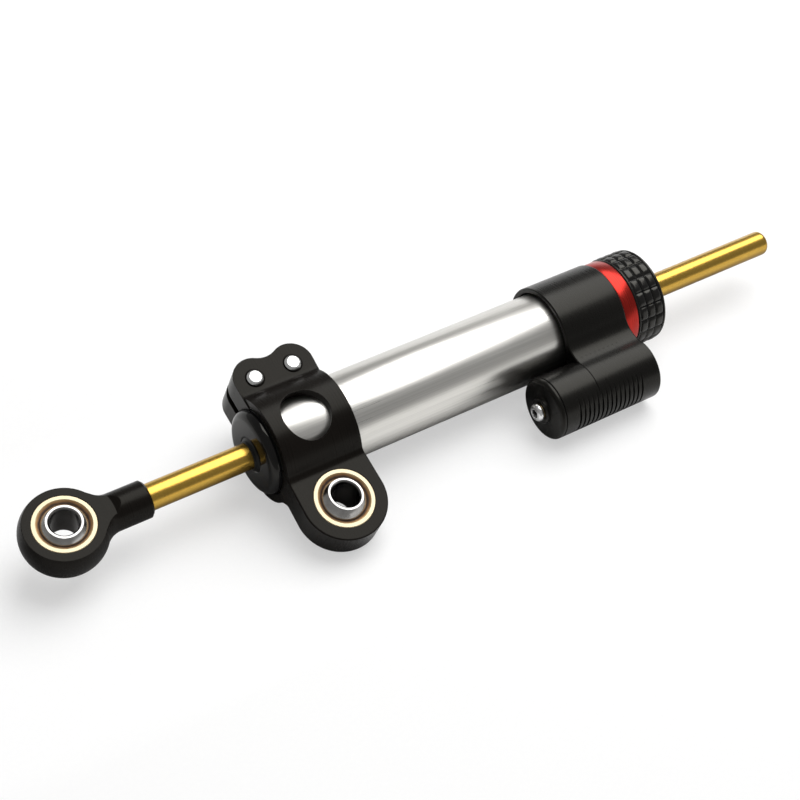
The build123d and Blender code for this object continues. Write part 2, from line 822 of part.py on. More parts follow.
def fill_screw():
    """Button-head filler screw with a hexagon socket."""
    _, _, boss = cap_face()
    seat = boss - fill_seal_thickness
    top = seat - fill_head_height
    radius = fill_head_dia / 2
    flat = radius * fill_flat_share
    along, out = fill_bulge_shares
    rim_end = seat - fill_head_height * fill_rim_share
    bulge = (seat - fill_head_height * along, radius * out)
    dome = ThreePointArc((rim_end, radius), bulge, (top, flat))
    rest = Polyline(
        (top, flat),
        (top, 0),
        (seat + fill_screw_length, 0),
        (seat + fill_screw_length, fill_hole_dia / 2),
        (seat, fill_hole_dia / 2),
        (seat, radius),
        (rim_end, radius),
    )
    body = revolve(make_face([dome, *rest.edges()]), Axis.X)
    socket = Rot(0, 90, 0) * hex_prism_z(-overrun, fill_hex_depth, fill_hex_width)
    body -= Pos(top, 0, 0) * socket
    return Pos(0, -reservoir_offset, 0) * body


def compensator_stations():
    """Front and rear of the compensator piston at rest."""
    front = barrel_front + cap_spigot_length + compensator_spring_length
    return front, front + compensator_length


def compensator_ring_groove():
    """Middle, half width and floor radius of the compensator's O-ring groove."""
    _, rear = compensator_stations()
    outer = barrel_bore_dia / 2 - running_gap
    middle = rear - compensator_ring_inset
    return middle, cap_ring_thickness / 2 + 2 * fit_gap, outer - cap_ring_thickness


def compensator_piston():
    """Floating piston between the oil and the spring side of the reservoir."""
    front, rear = compensator_stations()
    radius = barrel_bore_dia / 2 - compensator_play
    middle, half, floor = compensator_ring_groove()
    body = disc(front, rear, radius)
    body -= disc(middle - half, middle + half, radius + overrun, floor)
    body -= disc(front - overrun, front + compensator_recess, compensator_recess_dia / 2)
    return Pos(0, -reservoir_offset, 0) * body


def compensator_o_ring():
    """O-ring of the floating piston."""
    middle, half, floor = compensator_ring_groove()
    ring = cord_ring(middle, cap_ring_thickness, floor + fit_gap, barrel_bore_dia / 2 - running_gap)
    return Pos(0, -reservoir_offset, 0) * ring


def compensator_spring():
    """Spring between the cap and the floating piston."""
    front, _ = compensator_stations()
    mean = (compensator_spring_dia - compensator_spring_wire) / 2
    wire = compensator_spring_wire
    start = barrel_front + cap_spigot_length
    return coil(start, front, mean, wire, compensator_spring_turns, -reservoir_offset)


def valve_seat():
    """Brass seat with a conical mouth for the needle."""
    start = tube_rear + seat_start
    end = start + seat_length
    body = disc(start, end, seat_dia / 2, seat_hole_dia / 2)
    narrow = end - seat_mouth_depth
    body -= turned((end, 0), (end, seat_mouth_dia / 2), (narrow, seat_hole_dia / 2), (narrow, 0))
    return Pos(0, -needle_axis_radius, 0) * body


def needle_stations():
    """Tip, body front, collar front and tail of the needle at rest."""
    tip = tube_rear + seat_start + seat_length - needle_tip_gap
    body_front = tip + needle_tip_length + needle_nose_length
    collar_end = housing_rear - needle_collar_inset
    tail = knob_front + cam_mid_depth - cam_gap
    return tip, body_front, collar_end - needle_collar_width, tail


def needle_ring_groove():
    """Middle, half width and floor radius of the needle's O-ring groove."""
    _, body_front, _, _ = needle_stations()
    floor = seat_dia / 2 - needle_ring_thickness
    return body_front + needle_body_length / 2, needle_ring_width / 2 + fit_gap, floor


def metering_needle():
    """Needle with a conical tip, a sealed body, a spring collar and a tail for the cam."""
    tip, body_front, collar_at, tail = needle_stations()
    nose = needle_nose_dia / 2
    radius = seat_dia / 2 - needle_play
    stem = needle_stem_dia / 2
    collar = needle_collar_dia / 2
    body = turned(
        (tip, 0),
        (tip, needle_tip_dia / 2),
        (tip + needle_tip_length, nose),
        (body_front, nose),
        (body_front, radius),
        (body_front + needle_body_length, radius),
        (body_front + needle_body_length, stem),
        (collar_at, stem),
        (collar_at, collar),
        (collar_at + needle_collar_width, collar),
        (collar_at + needle_collar_width, stem),
        (tail, stem),
        (tail, 0),
    )
    middle, half, floor = needle_ring_groove()
    body -= disc(middle - half, middle + half, radius + overrun, floor)
    return Pos(0, -needle_axis_radius, 0) * body


def needle_o_ring():
    """O-ring of the needle."""
    middle, half, floor = needle_ring_groove()
    ring = cord_ring(middle, 2 * (half - fit_gap), floor + fit_gap, seat_dia / 2 - fit_gap)
    return Pos(0, -needle_axis_radius, 0) * ring


def needle_spring():
    """Spring that keeps the needle against the cam."""
    _, _, collar_at, _ = needle_stations()
    mean = (needle_spring_dia - needle_spring_wire) / 2
    start = housing_rear - needle_pocket_depth
    wire = needle_spring_wire
    return coil(start, collar_at, mean, wire, needle_spring_turns, -needle_axis_radius)


def detent_ring():
    """Coloured ring on the housing, with the sleeve that the knob turns on."""
    sleeve_end = knob_rear - sleeve_short
    rim = ring_dia / 2
    body = turned(
        (housing_rear, 0),
        (housing_rear, rim - ring_chamfer),
        (housing_rear + ring_chamfer, rim),
        (ring_rear - ring_chamfer, rim),
        (ring_rear, rim - ring_chamfer),
        (ring_rear, sleeve_dia / 2),
        (sleeve_end, sleeve_dia / 2),
        (sleeve_end, 0),
    )
    body -= disc(housing_rear - overrun, knob_rear, rod_hole_dia / 2)
    body -= disc(sleeve_end - rear_wiper_depth, knob_rear, wiper_dia / 2 + fit_gap)
    wide = sleeve_dia / 2 + overrun
    start, end = knob_clip_stations()
    body -= disc(start - fit_gap, end + fit_gap, wide, sleeve_dia / 2 - knob_clip_bite)
    middle, half = knob_ring_groove()
    body -= disc(middle - half, middle + half, wide, sleeve_dia / 2 - knob_ring_thickness)
    stem = needle_stem_dia / 2 + needle_play
    body -= rod_x(housing_rear - overrun, ring_rear + overrun, stem, -needle_axis_radius)
    pocket = detent_ball_dia / 2 + running_gap
    for angle in detent_angles:
        hole = rod_x(ring_rear - detent_pocket_depth, ring_rear + overrun, pocket, detent_ball_radius)
        body -= around(hole, angle)
    for angle in ring_screw_angles():
        body -= around(ring_screw_hole(), angle)
    return body


def ring_screw_hole():
    """Countersunk hole of the detent ring."""
    shank = ring_screw_dia / 2 + 2 * fit_gap
    head = ring_screw_head_dia / 2 + fit_gap
    hole = disc(housing_rear - overrun, ring_rear + overrun, shank)
    top = ring_rear - face_gap
    low = top - ring_screw_head_height
    out = ring_rear + overrun
    hole += turned((low, 0), (low, shank), (top, head), (out, head), (out, 0))
    return Pos(0, ring_screw_radius, 0) * hole


def detent_ring_screws():
    """Countersunk screws of the detent ring."""
    top = ring_rear - face_gap - fit_gap
    low = top - ring_screw_head_height
    end = ring_rear - ring_screw_length
    shank = ring_screw_dia / 2
    screw = turned((end, 0), (end, shank), (low, shank), (top, ring_screw_head_dia / 2), (top, 0))
    socket = Rot(0, 90, 0) * hex_prism_z(-ring_screw_hex_depth, overrun, ring_screw_hex_width)
    screw -= Pos(top, 0, 0) * socket
    screw = Pos(0, ring_screw_radius, 0) * screw
    return Compound(children=[around(screw, angle) for angle in ring_screw_angles()])


def detent_balls():
    """Two balls that ride in the knob's dimples."""
    x = knob_front - fit_gap - detent_ball_dia / 2
    one = Pos(x, detent_ball_radius, 0) * Sphere(detent_ball_dia / 2)
    return Compound(children=[around(one, angle) for angle in detent_angles])


def detent_springs():
    """Springs behind the detent balls."""
    end = knob_front - fit_gap - detent_ball_dia
    start = ring_rear - detent_pocket_depth
    mean = (detent_spring_dia - detent_spring_wire) / 2
    one = coil(start, end, mean, detent_spring_wire, detent_spring_turns, detent_ball_radius)
    return Compound(children=[around(one, angle) for angle in detent_angles])


def knob_floor():
    """Station of the floor of the knob's rear recess."""
    return knob_rear - knob_recess_depth


def knob_clip_stations():
    """Front and rear of the knob's snap ring."""
    start = knob_floor() + knob_washer_thickness + 2 * fit_gap
    return start, start + knob_clip_thickness


def knob_ring_groove():
    """Middle and half width of the sleeve's O-ring groove."""
    half = knob_ring_thickness / 2 + 2 * fit_gap
    return ring_rear + knob_ring_inset + half, half


def knob_o_ring():
    """O-ring that gives the knob its drag."""
    middle, half = knob_ring_groove()
    outer = sleeve_dia / 2
    return cord_ring(middle, knob_ring_thickness, outer - knob_ring_thickness + fit_gap, outer)


def knob_washer():
    """Thrust washer behind the knob's floor."""
    start = knob_floor() + fit_gap
    inner = sleeve_dia / 2 + fit_gap
    return disc(start, start + knob_washer_thickness, knob_washer_dia / 2, inner)


def knob_clip():
    """Snap ring on the sleeve that holds the knob."""
    start, end = knob_clip_stations()
    inner = sleeve_dia / 2 - knob_clip_bite + fit_gap
    return snap_ring(start, end, inner, knob_clip_dia / 2, knob_clip_opening, knob_clip_angle)


def front_wiper():
    """Wiper in the front cap."""
    return wiper(wiper_front, gland_front, gland_front + wiper_depth)


def rear_wiper():
    """Wiper in the sleeve's end."""
    end = knob_rear - sleeve_short
    return wiper(end + wiper_lip_length, end, end - rear_wiper_depth)


def cam_track():
    """Stepped cam in the knob's front face, one flat for each click, deeper one way round."""
    low = needle_axis_radius - cam_width / 2
    high = needle_axis_radius + cam_width / 2
    cuts = []
    for click in range(-clicks_each_way, clicks_each_way + 1):
        depth = cam_mid_depth + click * click_rise
        step = Plane.XY * make_face(
            Polyline(
                (knob_front - overrun, low),
                (knob_front - overrun, high),
                (knob_front + depth, high),
                (knob_front + depth, low),
                close=True,
            )
        )
        flat = revolve(step, Axis.X, click_angle)
        cuts.append(around(flat, 180 + (click - 0.5) * click_angle))
    return cuts


def knurl_rows_of_pads():
    """Rows of pads round the knob, parted by grooves along it and round it."""
    radius = knob_dia / 2
    start = knob_front + knob_front_land
    row = (knob_width - knob_front_land - knob_rear_land) / knurl_rows
    bite = knurl_slot_depth + overrun
    section = Circle(radius)
    slots = [
        Rot(0, 0, step * 360 / knurl_count) * Pos(radius + overrun, 0) * Circle(bite)
        for step in range(knurl_count)
    ]
    section -= slots
    section -= Circle(knob_recess_dia / 2 + overrun)
    rows = []
    for step in range(knurl_rows):
        at = start + step * row + knurl_ring_width / 2
        rows.append(extrude(Plane.YZ.offset(at) * section, amount=row - knurl_ring_width))
    return rows


def adjuster_knob():
    """Knurled knob with its cam and detent dimples inside."""
    radius = knob_dia / 2
    low = radius - knurl_depth
    bore = sleeve_dia / 2 + running_gap
    edge = knob_edge_chamfer
    body = turned(
        (knob_front, bore),
        (knob_front, radius - edge),
        (knob_front + edge, radius),
        (knob_front + knob_front_land, radius),
        (knob_front + knob_front_land, low),
        (knob_rear - knob_rear_land, low),
        (knob_rear - knob_rear_land, radius),
        (knob_rear - edge, radius),
        (knob_rear, radius - edge),
        (knob_rear, knob_recess_dia / 2),
        (knob_floor(), knob_recess_dia / 2),
        (knob_floor(), bore),
    )
    body -= cam_track()
    mouth = dimple_dia / 2
    deep = knob_front + dimple_depth
    out = knob_front - overrun
    dimple = turned((out, 0), (out, mouth), (knob_front, mouth), (deep, mouth / 2), (deep, 0))
    dimple = Pos(0, detent_ball_radius, 0) * dimple
    first = detent_angles[0]
    body -= [around(dimple, first + step * click_angle) for step in range(round(360 / click_angle))]
    return body + knurl_rows_of_pads()


def ear_outline():
    """Plan of the two ears seen along the bolts, with the dip between them."""
    side = clamp_width / 2
    wide = side + clamp_flare
    half = bolt_spacing / 2
    lobe = wide - half
    reach = lobe + ear_dip_fillet
    rise = math.sqrt(reach**2 - half**2)
    touch_x = half - half * lobe / reach
    touch_y = rise * lobe / reach
    left = Pos(-half, bolt_reach) * Circle(lobe)
    right = Pos(half, bolt_reach) * Circle(lobe)
    base = make_face(
        Polyline(
            (-side, 0),
            (-wide, bolt_reach),
            (-touch_x, bolt_reach + touch_y),
            (touch_x, bolt_reach + touch_y),
            (wide, bolt_reach),
            (side, 0),
            close=True,
        )
    )
    dip = Pos(0, bolt_reach + rise) * Circle(ear_dip_fillet)
    return left + right + (base - dip)


def bolt_places():
    """X places of the two bolts."""
    half = bolt_spacing / 2
    return clamp_middle - half, clamp_middle + half


def blend_section(face, radius):
    """Section of the concave round between the band and a face this high over the axis."""
    rim = tube_dia / 2 + clamp_wall
    centre_n = face + radius
    centre_v = math.sqrt((rim + radius) ** 2 - centre_n**2)
    touch = rim / (rim + radius)
    corner = math.sqrt(rim**2 - face**2)
    points = ((centre_v, face), (centre_v * touch, centre_n * touch), (corner * touch, face * touch))
    return make_face(Polyline(*points, close=True)) - Pos(centre_v, centre_n) * Circle(radius)


def clamp_blends():
    """Concave rounds between the band and the faces of the lug and the ears."""
    half = lug_thickness / 2
    ear = blend_section(ear_half_height, ear_blend)
    lug_top = mirror(blend_section(half + lug_rise, lug_top_blend), Plane.YZ)
    lug_low = Rot(0, 0, 180) * blend_section(half - lug_rise, lug_blend)
    blends = []
    for section in (ear, mirror(ear, Plane.XZ), lug_top, lug_low):
        blends.append(extrude(Plane.YZ.offset(clamp_front) * section, amount=clamp_width))
    return blends


def clamp_body():
    """Split clamp: band, ears, slit, window and the lug with its bearing hole."""
    rim = tube_dia / 2 + clamp_wall
    bore = tube_dia / 2 + running_gap
    clamp_rear = clamp_front + clamp_width
    body = disc(clamp_front, clamp_rear, rim)
    ears = extrude(ear_outline(), amount=ear_half_height, both=True)
    body += Pos(clamp_middle, 0, 0) * ears
    half = lug_thickness / 2
    side = clamp_width / 2
    wide = side + clamp_flare
    arm = make_face(Polyline((-side, 0), (-wide, -lug_reach), (wide, -lug_reach), (side, 0), close=True))
    lug = extrude(Pos(0, -lug_reach) * Circle(wide) + arm, amount=half, both=True)
    lug = chamfer(lug.edges().filter_by(GeomType.CIRCLE), lug_edge_chamfer)
    body += Pos(clamp_middle, 0, lug_rise) * lug
    for blend in clamp_blends():
        body += blend
    body -= disc(clamp_front - overrun, clamp_rear + overrun, bore)
    mouth = bore + clamp_bore_chamfer
    for face, inward in ((clamp_front, 1), (clamp_rear, -1)):
        depth = face + inward * clamp_bore_chamfer
        body -= turned((face, 0), (face, mouth), (depth, bore), (depth, 0))
    slit = Box(clamp_width + overrun, bolt_reach + clamp_width, slit_width)
    body -= Pos(clamp_middle, (bolt_reach + clamp_width) / 2, 0) * slit
    bearing_hole = rod_z(-clamp_width, clamp_width, race_dia / 2 + running_gap)
    body -= Pos(clamp_middle, -lug_reach, lug_rise) * bearing_hole
    window = extrude(Ellipse(window_length / 2, window_breadth / 2), amount=rim + overrun)
    body -= Pos(clamp_middle - window_lead, 0, 0) * window
    hole = bolt_dia / 2 + fit_gap
    seat = washer_dia / 2 + washer_seat_gap
    for x in bolt_places():
        body -= rod_z(-clamp_width, -ear_half_height, seat, x, bolt_reach)
        body -= rod_z(-ear_half_height - overrun, ear_half_height + overrun, hole, x, bolt_reach)
        flare = hole + bolt_hole_chamfer
        body -= cone_z(ear_half_height - bolt_hole_chamfer, ear_half_height, hole, flare, x, bolt_reach)
    return around(body, clamp_roll)


def clamp_bolts():
    """Two socket-head bolts, screwed in from below, whose ends show on top."""
    radius = bolt_dia / 2
    seat = -ear_half_height - washer_thickness
    end = seat + bolt_length
    head = bolt_head_dia / 2
    bolts = []
    for x in bolt_places():
        bolt = rod_z(seat, end - bolt_end_chamfer, radius, x, bolt_reach)
        bolt += cone_z(end - bolt_end_chamfer, end, radius, radius - bolt_end_chamfer, x, bolt_reach)
        low = seat - bolt_head_height
        bolt += cone_z(low, low + bolt_head_chamfer, head - bolt_head_chamfer, head, x, bolt_reach)
        bolt += rod_z(low + bolt_head_chamfer, seat, head, x, bolt_reach)
        bolt -= hex_prism_z(low - overrun, low + bolt_hex_depth, bolt_hex_width, x, bolt_reach)
        bolts.append(around(bolt, clamp_roll))
    return Compound(children=bolts)


def clamp_washers():
    """Washers under the bolts' heads."""
    low = -ear_half_height - washer_thickness
    hole = bolt_dia / 2 + 2 * fit_gap
    washers = []
    for x in bolt_places():
        one = rod_z(low, -ear_half_height, washer_dia / 2, x, bolt_reach)
        one -= rod_z(low - overrun, overrun, hole, x, bolt_reach)
        washers.append(around(one, clamp_roll))
    return Compound(children=washers)


def clamp_race():
    """Bearing ring in the clamp's lug."""
    return around(Pos(clamp_middle, -lug_reach, lug_rise) * race(), clamp_roll)


def clamp_ball():
    """Ball in the clamp's lug, resting tilted."""
    heading = Rot(0, 0, clamp_ball_heading)
    back = Rot(0, 0, -clamp_ball_heading)
    tilted = heading * Rot(0, clamp_ball_tilt, 0) * back * ball()
    return around(Pos(clamp_middle, -lug_reach, lug_rise) * tilted, clamp_roll)


pieces = {
    "rod_end_housing": rod_end_housing,
    "rod_end_race": race,
    "rod_end_ball": ball,
    "piston_rod": piston_rod,
    "rod_clips": rod_clips,
    "piston": piston,
    "piston_ring": piston_ring,
    "piston_o_ring": piston_o_ring,
    "main_tube": main_tube,
    "cylinder_liner": cylinder_liner,
    "front_gland": front_gland,
    "front_gland_o_ring": front_gland_o_ring,
    "front_rod_seal": front_rod_seal,
    "front_rod_bush": front_rod_bush,
    "front_wiper": front_wiper,
    "rear_housing": rear_housing,
    "tube_o_ring": tube_o_ring,
    "rear_rod_bush": rear_rod_bush,
    "rear_rod_seal": rear_rod_seal,
    "rear_seal_clip": rear_seal_clip,
    "reservoir_cap": reservoir_cap,
    "reservoir_cap_o_ring": reservoir_cap_o_ring,
    "fill_screw": fill_screw,
    "fill_screw_seal": fill_screw_seal,
    "compensator_piston": compensator_piston,
    "compensator_o_ring": compensator_o_ring,
    "compensator_spring": compensator_spring,
    "valve_seat": valve_seat,
    "metering_needle": metering_needle,
    "needle_o_ring": needle_o_ring,
    "needle_spring": needle_spring,
    "detent_ring": detent_ring,
    "detent_ring_screws": detent_ring_screws,
    "detent_balls": detent_balls,
    "detent_springs": detent_springs,
    "knob_o_ring": knob_o_ring,
    "knob_washer": knob_washer,
    "knob_clip": knob_clip,
    "rear_wiper": rear_wiper,
    "adjuster_knob": adjuster_knob,
    "clamp_body": clamp_body,
    "clamp_bolts": clamp_bolts,
    "clamp_washers": clamp_washers,
    "clamp_race": clamp_race,
    "clamp_ball": clamp_ball,
}

for name, make in pieces.items():
    export_step(make(), f"parts/{name}.step")
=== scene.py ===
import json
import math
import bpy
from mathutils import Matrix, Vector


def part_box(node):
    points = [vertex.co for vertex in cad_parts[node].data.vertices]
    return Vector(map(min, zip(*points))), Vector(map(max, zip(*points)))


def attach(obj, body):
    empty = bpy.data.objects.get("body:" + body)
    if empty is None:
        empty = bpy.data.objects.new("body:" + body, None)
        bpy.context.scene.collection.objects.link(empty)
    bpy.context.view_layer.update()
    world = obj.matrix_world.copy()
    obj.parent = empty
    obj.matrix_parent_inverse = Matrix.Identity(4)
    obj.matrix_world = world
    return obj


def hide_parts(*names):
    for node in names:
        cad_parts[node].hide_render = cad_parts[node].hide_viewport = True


bl_info = {
    "name": "Steering Damper Finish",
    "version": (1, 0, 0),
    "blender": (4, 5, 0),
    "location": "View3D > Sidebar > Damper",
    "description": "Dresses the CAD frame of a motorcycle steering damper with finished pieces and materials",
    "category": "Add Mesh",
}

import bmesh
import bpy
from mathutils import Matrix, Vector

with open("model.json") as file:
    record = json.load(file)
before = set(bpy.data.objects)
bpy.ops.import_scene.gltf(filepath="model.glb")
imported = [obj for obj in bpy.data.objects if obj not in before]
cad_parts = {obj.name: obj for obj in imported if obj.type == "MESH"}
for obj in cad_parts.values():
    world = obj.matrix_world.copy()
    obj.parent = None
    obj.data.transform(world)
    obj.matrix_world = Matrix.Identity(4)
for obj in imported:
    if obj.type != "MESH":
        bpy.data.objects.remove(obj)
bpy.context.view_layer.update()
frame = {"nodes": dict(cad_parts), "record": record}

MM = 0.001
AXIS_X = Vector((1, 0, 0))
FULL_TURN = 2 * math.pi

# Sizes of the CAD in millimetres that its boxes don't give, because the piece is turned or hollow
CLAMP_ROLL = math.radians(8.8)
CLAMP_TURN = Matrix.Rotation(CLAMP_ROLL, 4, "X")
BALL_TILT = math.radians(7.7)
BALL_HEADING = math.radians(48.6)
TUBE_WALL = 1.3
ROD_BORE = 4.35
STUB_LENGTH = 8.9
STUB_RADIUS = 3.0
FACE_GAP = 0.1
SLEEVE_RADIUS = 9.0
SLEEVE_BORE = 5.35
SLEEVE_RECESS = 2.2
KNOB_BORE = 9.1
KNOB_RECESS = 12.0
KNOB_RECESS_DEPTH = 3.0
BOSS_HEIGHT = 1.2
BOSS_RADIUS = 4.2
CAP_DOME = 1.1
CAP_DOME_RADIAL = 1.4
SPIGOT_RADIUS = 7.7
FILL_HOLE = 1.55
FILL_HEAD = 1.65
FILL_HEX = 2.5
FILL_HEX_DEPTH = 1.1
FILL_SEAL_RADIUS = 2.6
BALL_RADIUS = 7.94
BALL_BORE = 4.1
BOLT_REACH = 17.9
BOLT_SEAT = -10.0
BOLT_END = 10.0
BOLT_RADIUS = 2.5
HEAD_RADIUS = 4.25
HEAD_HEIGHT = 5.0
BOLT_HEX = 4.0
BOLT_HEX_DEPTH = 2.6
WASHER_RADIUS = 5.0
WASHER_TOP = -9.0
BOLT_GAP = 0.05

# Small breaks, clearances and seat of the new pieces, in millimetres
FINE_BREAK = 0.06
PART_BREAK = 0.1
CORE_BREAK = 0.12
WASHER_BREAK = 0.15
SLIDE_GAP = 0.03
BALL_GAP = 0.04
RACE_FACE = 7.8
RACE_BEVEL = 7.3
RACE_BEVEL_DEPTH = 0.3
SEAT_INSET = 0.6
ON_FACE = 0.05
SKIN = 0.01

# Profiles as (distance back from an end, drop from the outer radius), in millimetres
GLAND_LIP_LINE = ((0.75, 0.0), (0.66, 0.14), (0.5, 0.14), (0.42, 0.0))
WIPER_SHOULDER = ((1.0, 0.35), (1.15, 0.02))
KNOB_FRONT_RIM = ((0.0, 0.55), (0.35, 0.25), (0.7, 0.25))
KNOB_REAR_RIM = ((0.85, 0.2), (0.35, 0.2), (0.0, 0.6))
CAP_SEAM = ((0.42, 0.0), (0.3, 0.12), (0.26, 0.45), (0.0, 0.45), (-0.02, 0.12), (-0.1, 0.0))
BOLT_TIP = ((0.7, 0.0), (0.2, 0.42), (0.03, 0.7), (0.0, 0.9))

# Sizes of the new pieces' details, in millimetres, and shares
GLAND_MOUTH = (0.25, 0.35)
GLAND_NECK = (1.25, 3.4)
WIPER_POCKET = (2.5, 0.7)
WIPER_LIP = ((0.0, 4.03), (0.0, 4.35), (0.35, 4.62), (0.6, 4.5))
WIPER_INSIDE = ((0.5, 4.05), 4.2)
END_BREAK = 0.4
TIP_FLATNESS = 0.85
PADS_FROM = 0.8
PADS_TO = 0.95
PAD_WALL = 0.05
PAD_SHARE = (0.98, 0.97)
PAD_GRID = 12
KNOB_STEPS = 168
CAP_SEAM_INSET = 0.12
BOSS_TOP = ((0.0, 0.4), (0.2, 0.15))
BOSS_FOOT = ((0.12, 0.0), (0.0, -0.2))
BUTTON_FLAT = 0.62
BUTTON_LIP = (0.05, 0.12)
BUTTON_RISE = 1.3
BUTTON_EDGE = 1.4
BUTTON_FOOT = 0.08
FILL_SHANK = 1.5
SEAT_TONE = 0.3
SEAT_RUN = 1.4
SEAT_STEPS = 8
BALL_STEPS = 12
BALL_CHAMFER = 0.5

# Floor, lamps and surroundings
FLOOR_STATIONS = (
    -2500, -700, -200, -100, -75, -66, -62, -56, -40, -20, 0, 20, 34, 40, 46, 60, 120, 400, 900, 2500
)
FLOOR_LENGTH = (-2.2, 2.4)
FLOOR_LEVEL = -16.25
FLOOR_SLOPE = 0.243
LEAN_SPAN = (-62.0, 40.0)
# Painted shade under the object: within UNDERSIDE mm of the axis across Y, the floor's mirrored colour goes
# UNDERSIDE_SHADE of the way to near black, fading out by UNDERSIDE_EDGE mm.
UNDERSIDE = 12.0
UNDERSIDE_EDGE = 34.0
UNDERSIDE_SHADE = 0.6
LAMP_TARGET = Vector((0.12, 0, 0))
# Name, direction, distance and size in metres, and power in watts
LAMPS = (
    ("key_softbox", (0.42, 0.35, 0.83), 1.1, (1.0, 1.2), 15.0),
    ("front_fill", (0.5, -0.9, 0.12), 1.6, (1.6, 0.5), 2.0),
)
SURROUNDINGS = ((0.0, (0.5, 0.5, 0.49)), (0.3, (0.4, 0.4, 0.39)), (0.55, (0.3, 0.3, 0.3)), (1.0, (0.36, 0.36, 0.36)))
SENSOR_WIDTH = 36

# Steps round a turned piece
FINE_STEPS = 160
CAP_STEPS = 128
PLAIN_STEPS = 96
SMALL_STEPS = 64
ROUND_STEPS = 8


# Places that come from the CAD


def low(node, axis=0):
    """Lowest coordinate of a CAD node, in millimetres."""
    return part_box(node)[0][axis] / MM


def high(node, axis=0):
    """Highest coordinate of a CAD node, in millimetres."""
    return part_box(node)[1][axis] / MM


def middle(node, axis=0):
    """Middle of a CAD node along an axis, in millimetres."""
    return (low(node, axis) + high(node, axis)) / 2


# Mesh helpers


def is_sharp(edge, angle):
    """Whether an edge's two faces meet at more than an angle."""
    return len(edge.link_faces) == 2 and edge.calc_face_angle(0) > angle


def soften(bm, width, angle=math.radians(28)):
    """Bevels the sharp edges by a width in millimetres."""
    bmesh.ops.bevel(
        bm,
        geom=[edge for edge in bm.edges if is_sharp(edge, angle)],
        offset=width * MM,
        offset_type="OFFSET",
        affect="EDGES",
        segments=2,
        profile=0.5,
        material=-1,
        clamp_overlap=True,
    )


def turned(points, steps=PLAIN_STEPS, closed=False):
    """New bmesh of (x, radius) points spun about the X axis."""
    bm = bmesh.new()
    path = list(points) + [points[0]] if closed else points
    verts = [bm.verts.new((x * MM, 0, r * MM)) for x, r in path]
    edges = [bm.edges.new(pair) for pair in zip(verts, verts[1:])]
    bmesh.ops.spin(
        bm,
        geom=verts + edges,
        cent=(0, 0, 0),
        axis=AXIS_X,
        dvec=(0, 0, 0),
        angle=FULL_TURN,
        steps=steps,
        use_merge=True,
        use_normal_flip=False,
        use_duplicate=False,
    )
    bmesh.ops.remove_doubles(bm, verts=bm.verts, dist=1e-6)
    bmesh.ops.recalc_face_normals(bm, faces=bm.faces)
    return bm


def quarter(x, run, outer, drop, first=0, last=ROUND_STEPS):
    """Points of a quarter round, from a face at x out to an outer radius."""
    turns = [math.radians(90 * step / ROUND_STEPS) for step in range(first, last + 1)]
    return [(x + run * (1 - math.cos(turn)), outer - drop * (1 - math.sin(turn))) for turn in turns]


def marked(bm, name, value):
    """Stores a number on each point, from its place along X and its distance from the axis."""
    layer = bm.verts.layers.float.new(name)
    for vert in bm.verts:
        vert[layer] = value(vert.co.x / MM, math.hypot(vert.co.y, vert.co.z) / MM)


def centred(node):
    """Offset across X that brings a piece onto a CAD node's axis."""
    return 0, middle(node, 1), middle(node, 2)


def move(bm, offset=(0, 0, 0), turn=None):
    """Turns a bmesh about the origin, then moves it by millimetres."""
    if turn is not None:
        bmesh.ops.transform(bm, matrix=turn, verts=bm.verts)
    bmesh.ops.translate(bm, vec=Vector(offset) * MM, verts=bm.verts)


def lay_on_z():
    """Turn that stands an X-axis piece on the Z axis, its -X end down."""
    return Matrix.Rotation(-math.pi / 2, 4, "Y")


def mesh_of(name, bm):
    """Mesh of a bmesh, which is freed."""
    mesh = bpy.data.meshes.new(name)
    bm.to_mesh(mesh)
    bm.free()
    return mesh


def joined(*parts):
    """One bmesh of several, which are freed."""
    whole = bmesh.new()
    for part in parts:
        mesh = mesh_of("part", part)
        whole.from_mesh(mesh)
        bpy.data.meshes.remove(mesh)
    return whole


def finished(name, bm, body, node, finish, sharp=math.radians(35)):
    """Object of a bmesh, which rides on a body and stands for a CAD node."""
    for face in bm.faces:
        face.smooth = True
    for edge in bm.edges:
        edge.smooth = not is_sharp(edge, sharp)
    mesh = mesh_of(name, bm)
    piece = bpy.data.objects.new(name, mesh)
    bpy.context.scene.collection.objects.link(piece)
    mesh.materials.append(MATERIALS[finish])
    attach(piece, body)
    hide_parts(node)
    return piece


def hex_socket(x_face, depth, width):
    """Six-sided plug along X, to be cut out of a screw's head."""
    bm = bmesh.new()
    corner = width / math.sqrt(3) * MM
    bmesh.ops.create_cone(bm, cap_ends=True, segments=6, radius1=corner, radius2=corner, depth=2 * depth * MM)
    move(bm, (x_face, 0, 0), Matrix.Rotation(math.pi / 2, 4, "Y"))
    return bm


# Material helpers


def group_tree(name, inputs, outputs):
    """Shader node group with number sockets beside its vector, and the nodes that start and end it."""
    tree = bpy.data.node_groups.new(name, "ShaderNodeTree")
    tree.interface.new_socket(name="Vector", in_out="INPUT", socket_type="NodeSocketVector")
    for label, default in inputs:
        socket = tree.interface.new_socket(name=label, in_out="INPUT", socket_type="NodeSocketFloat")
        socket.default_value = default
    for label, kind in outputs:
        tree.interface.new_socket(name=label, in_out="OUTPUT", socket_type=kind)
    return tree, tree.nodes.new("NodeGroupInput"), tree.nodes.new("NodeGroupOutput")


def put(tree, socket, value):
    """Sets a socket to a number or links another socket to it."""
    if isinstance(value, (int, float)):
        socket.default_value = value
    else:
        tree.links.new(value, socket)


def math_node(tree, operation, first, second=None, clamp=False):
    """Math node whose inputs are numbers or sockets."""
    node = tree.nodes.new("ShaderNodeMath")
    node.operation = operation
    node.use_clamp = clamp
    put(tree, node.inputs[0], first)
    if second is not None:
        put(tree, node.inputs[1], second)
    return node.outputs[0]


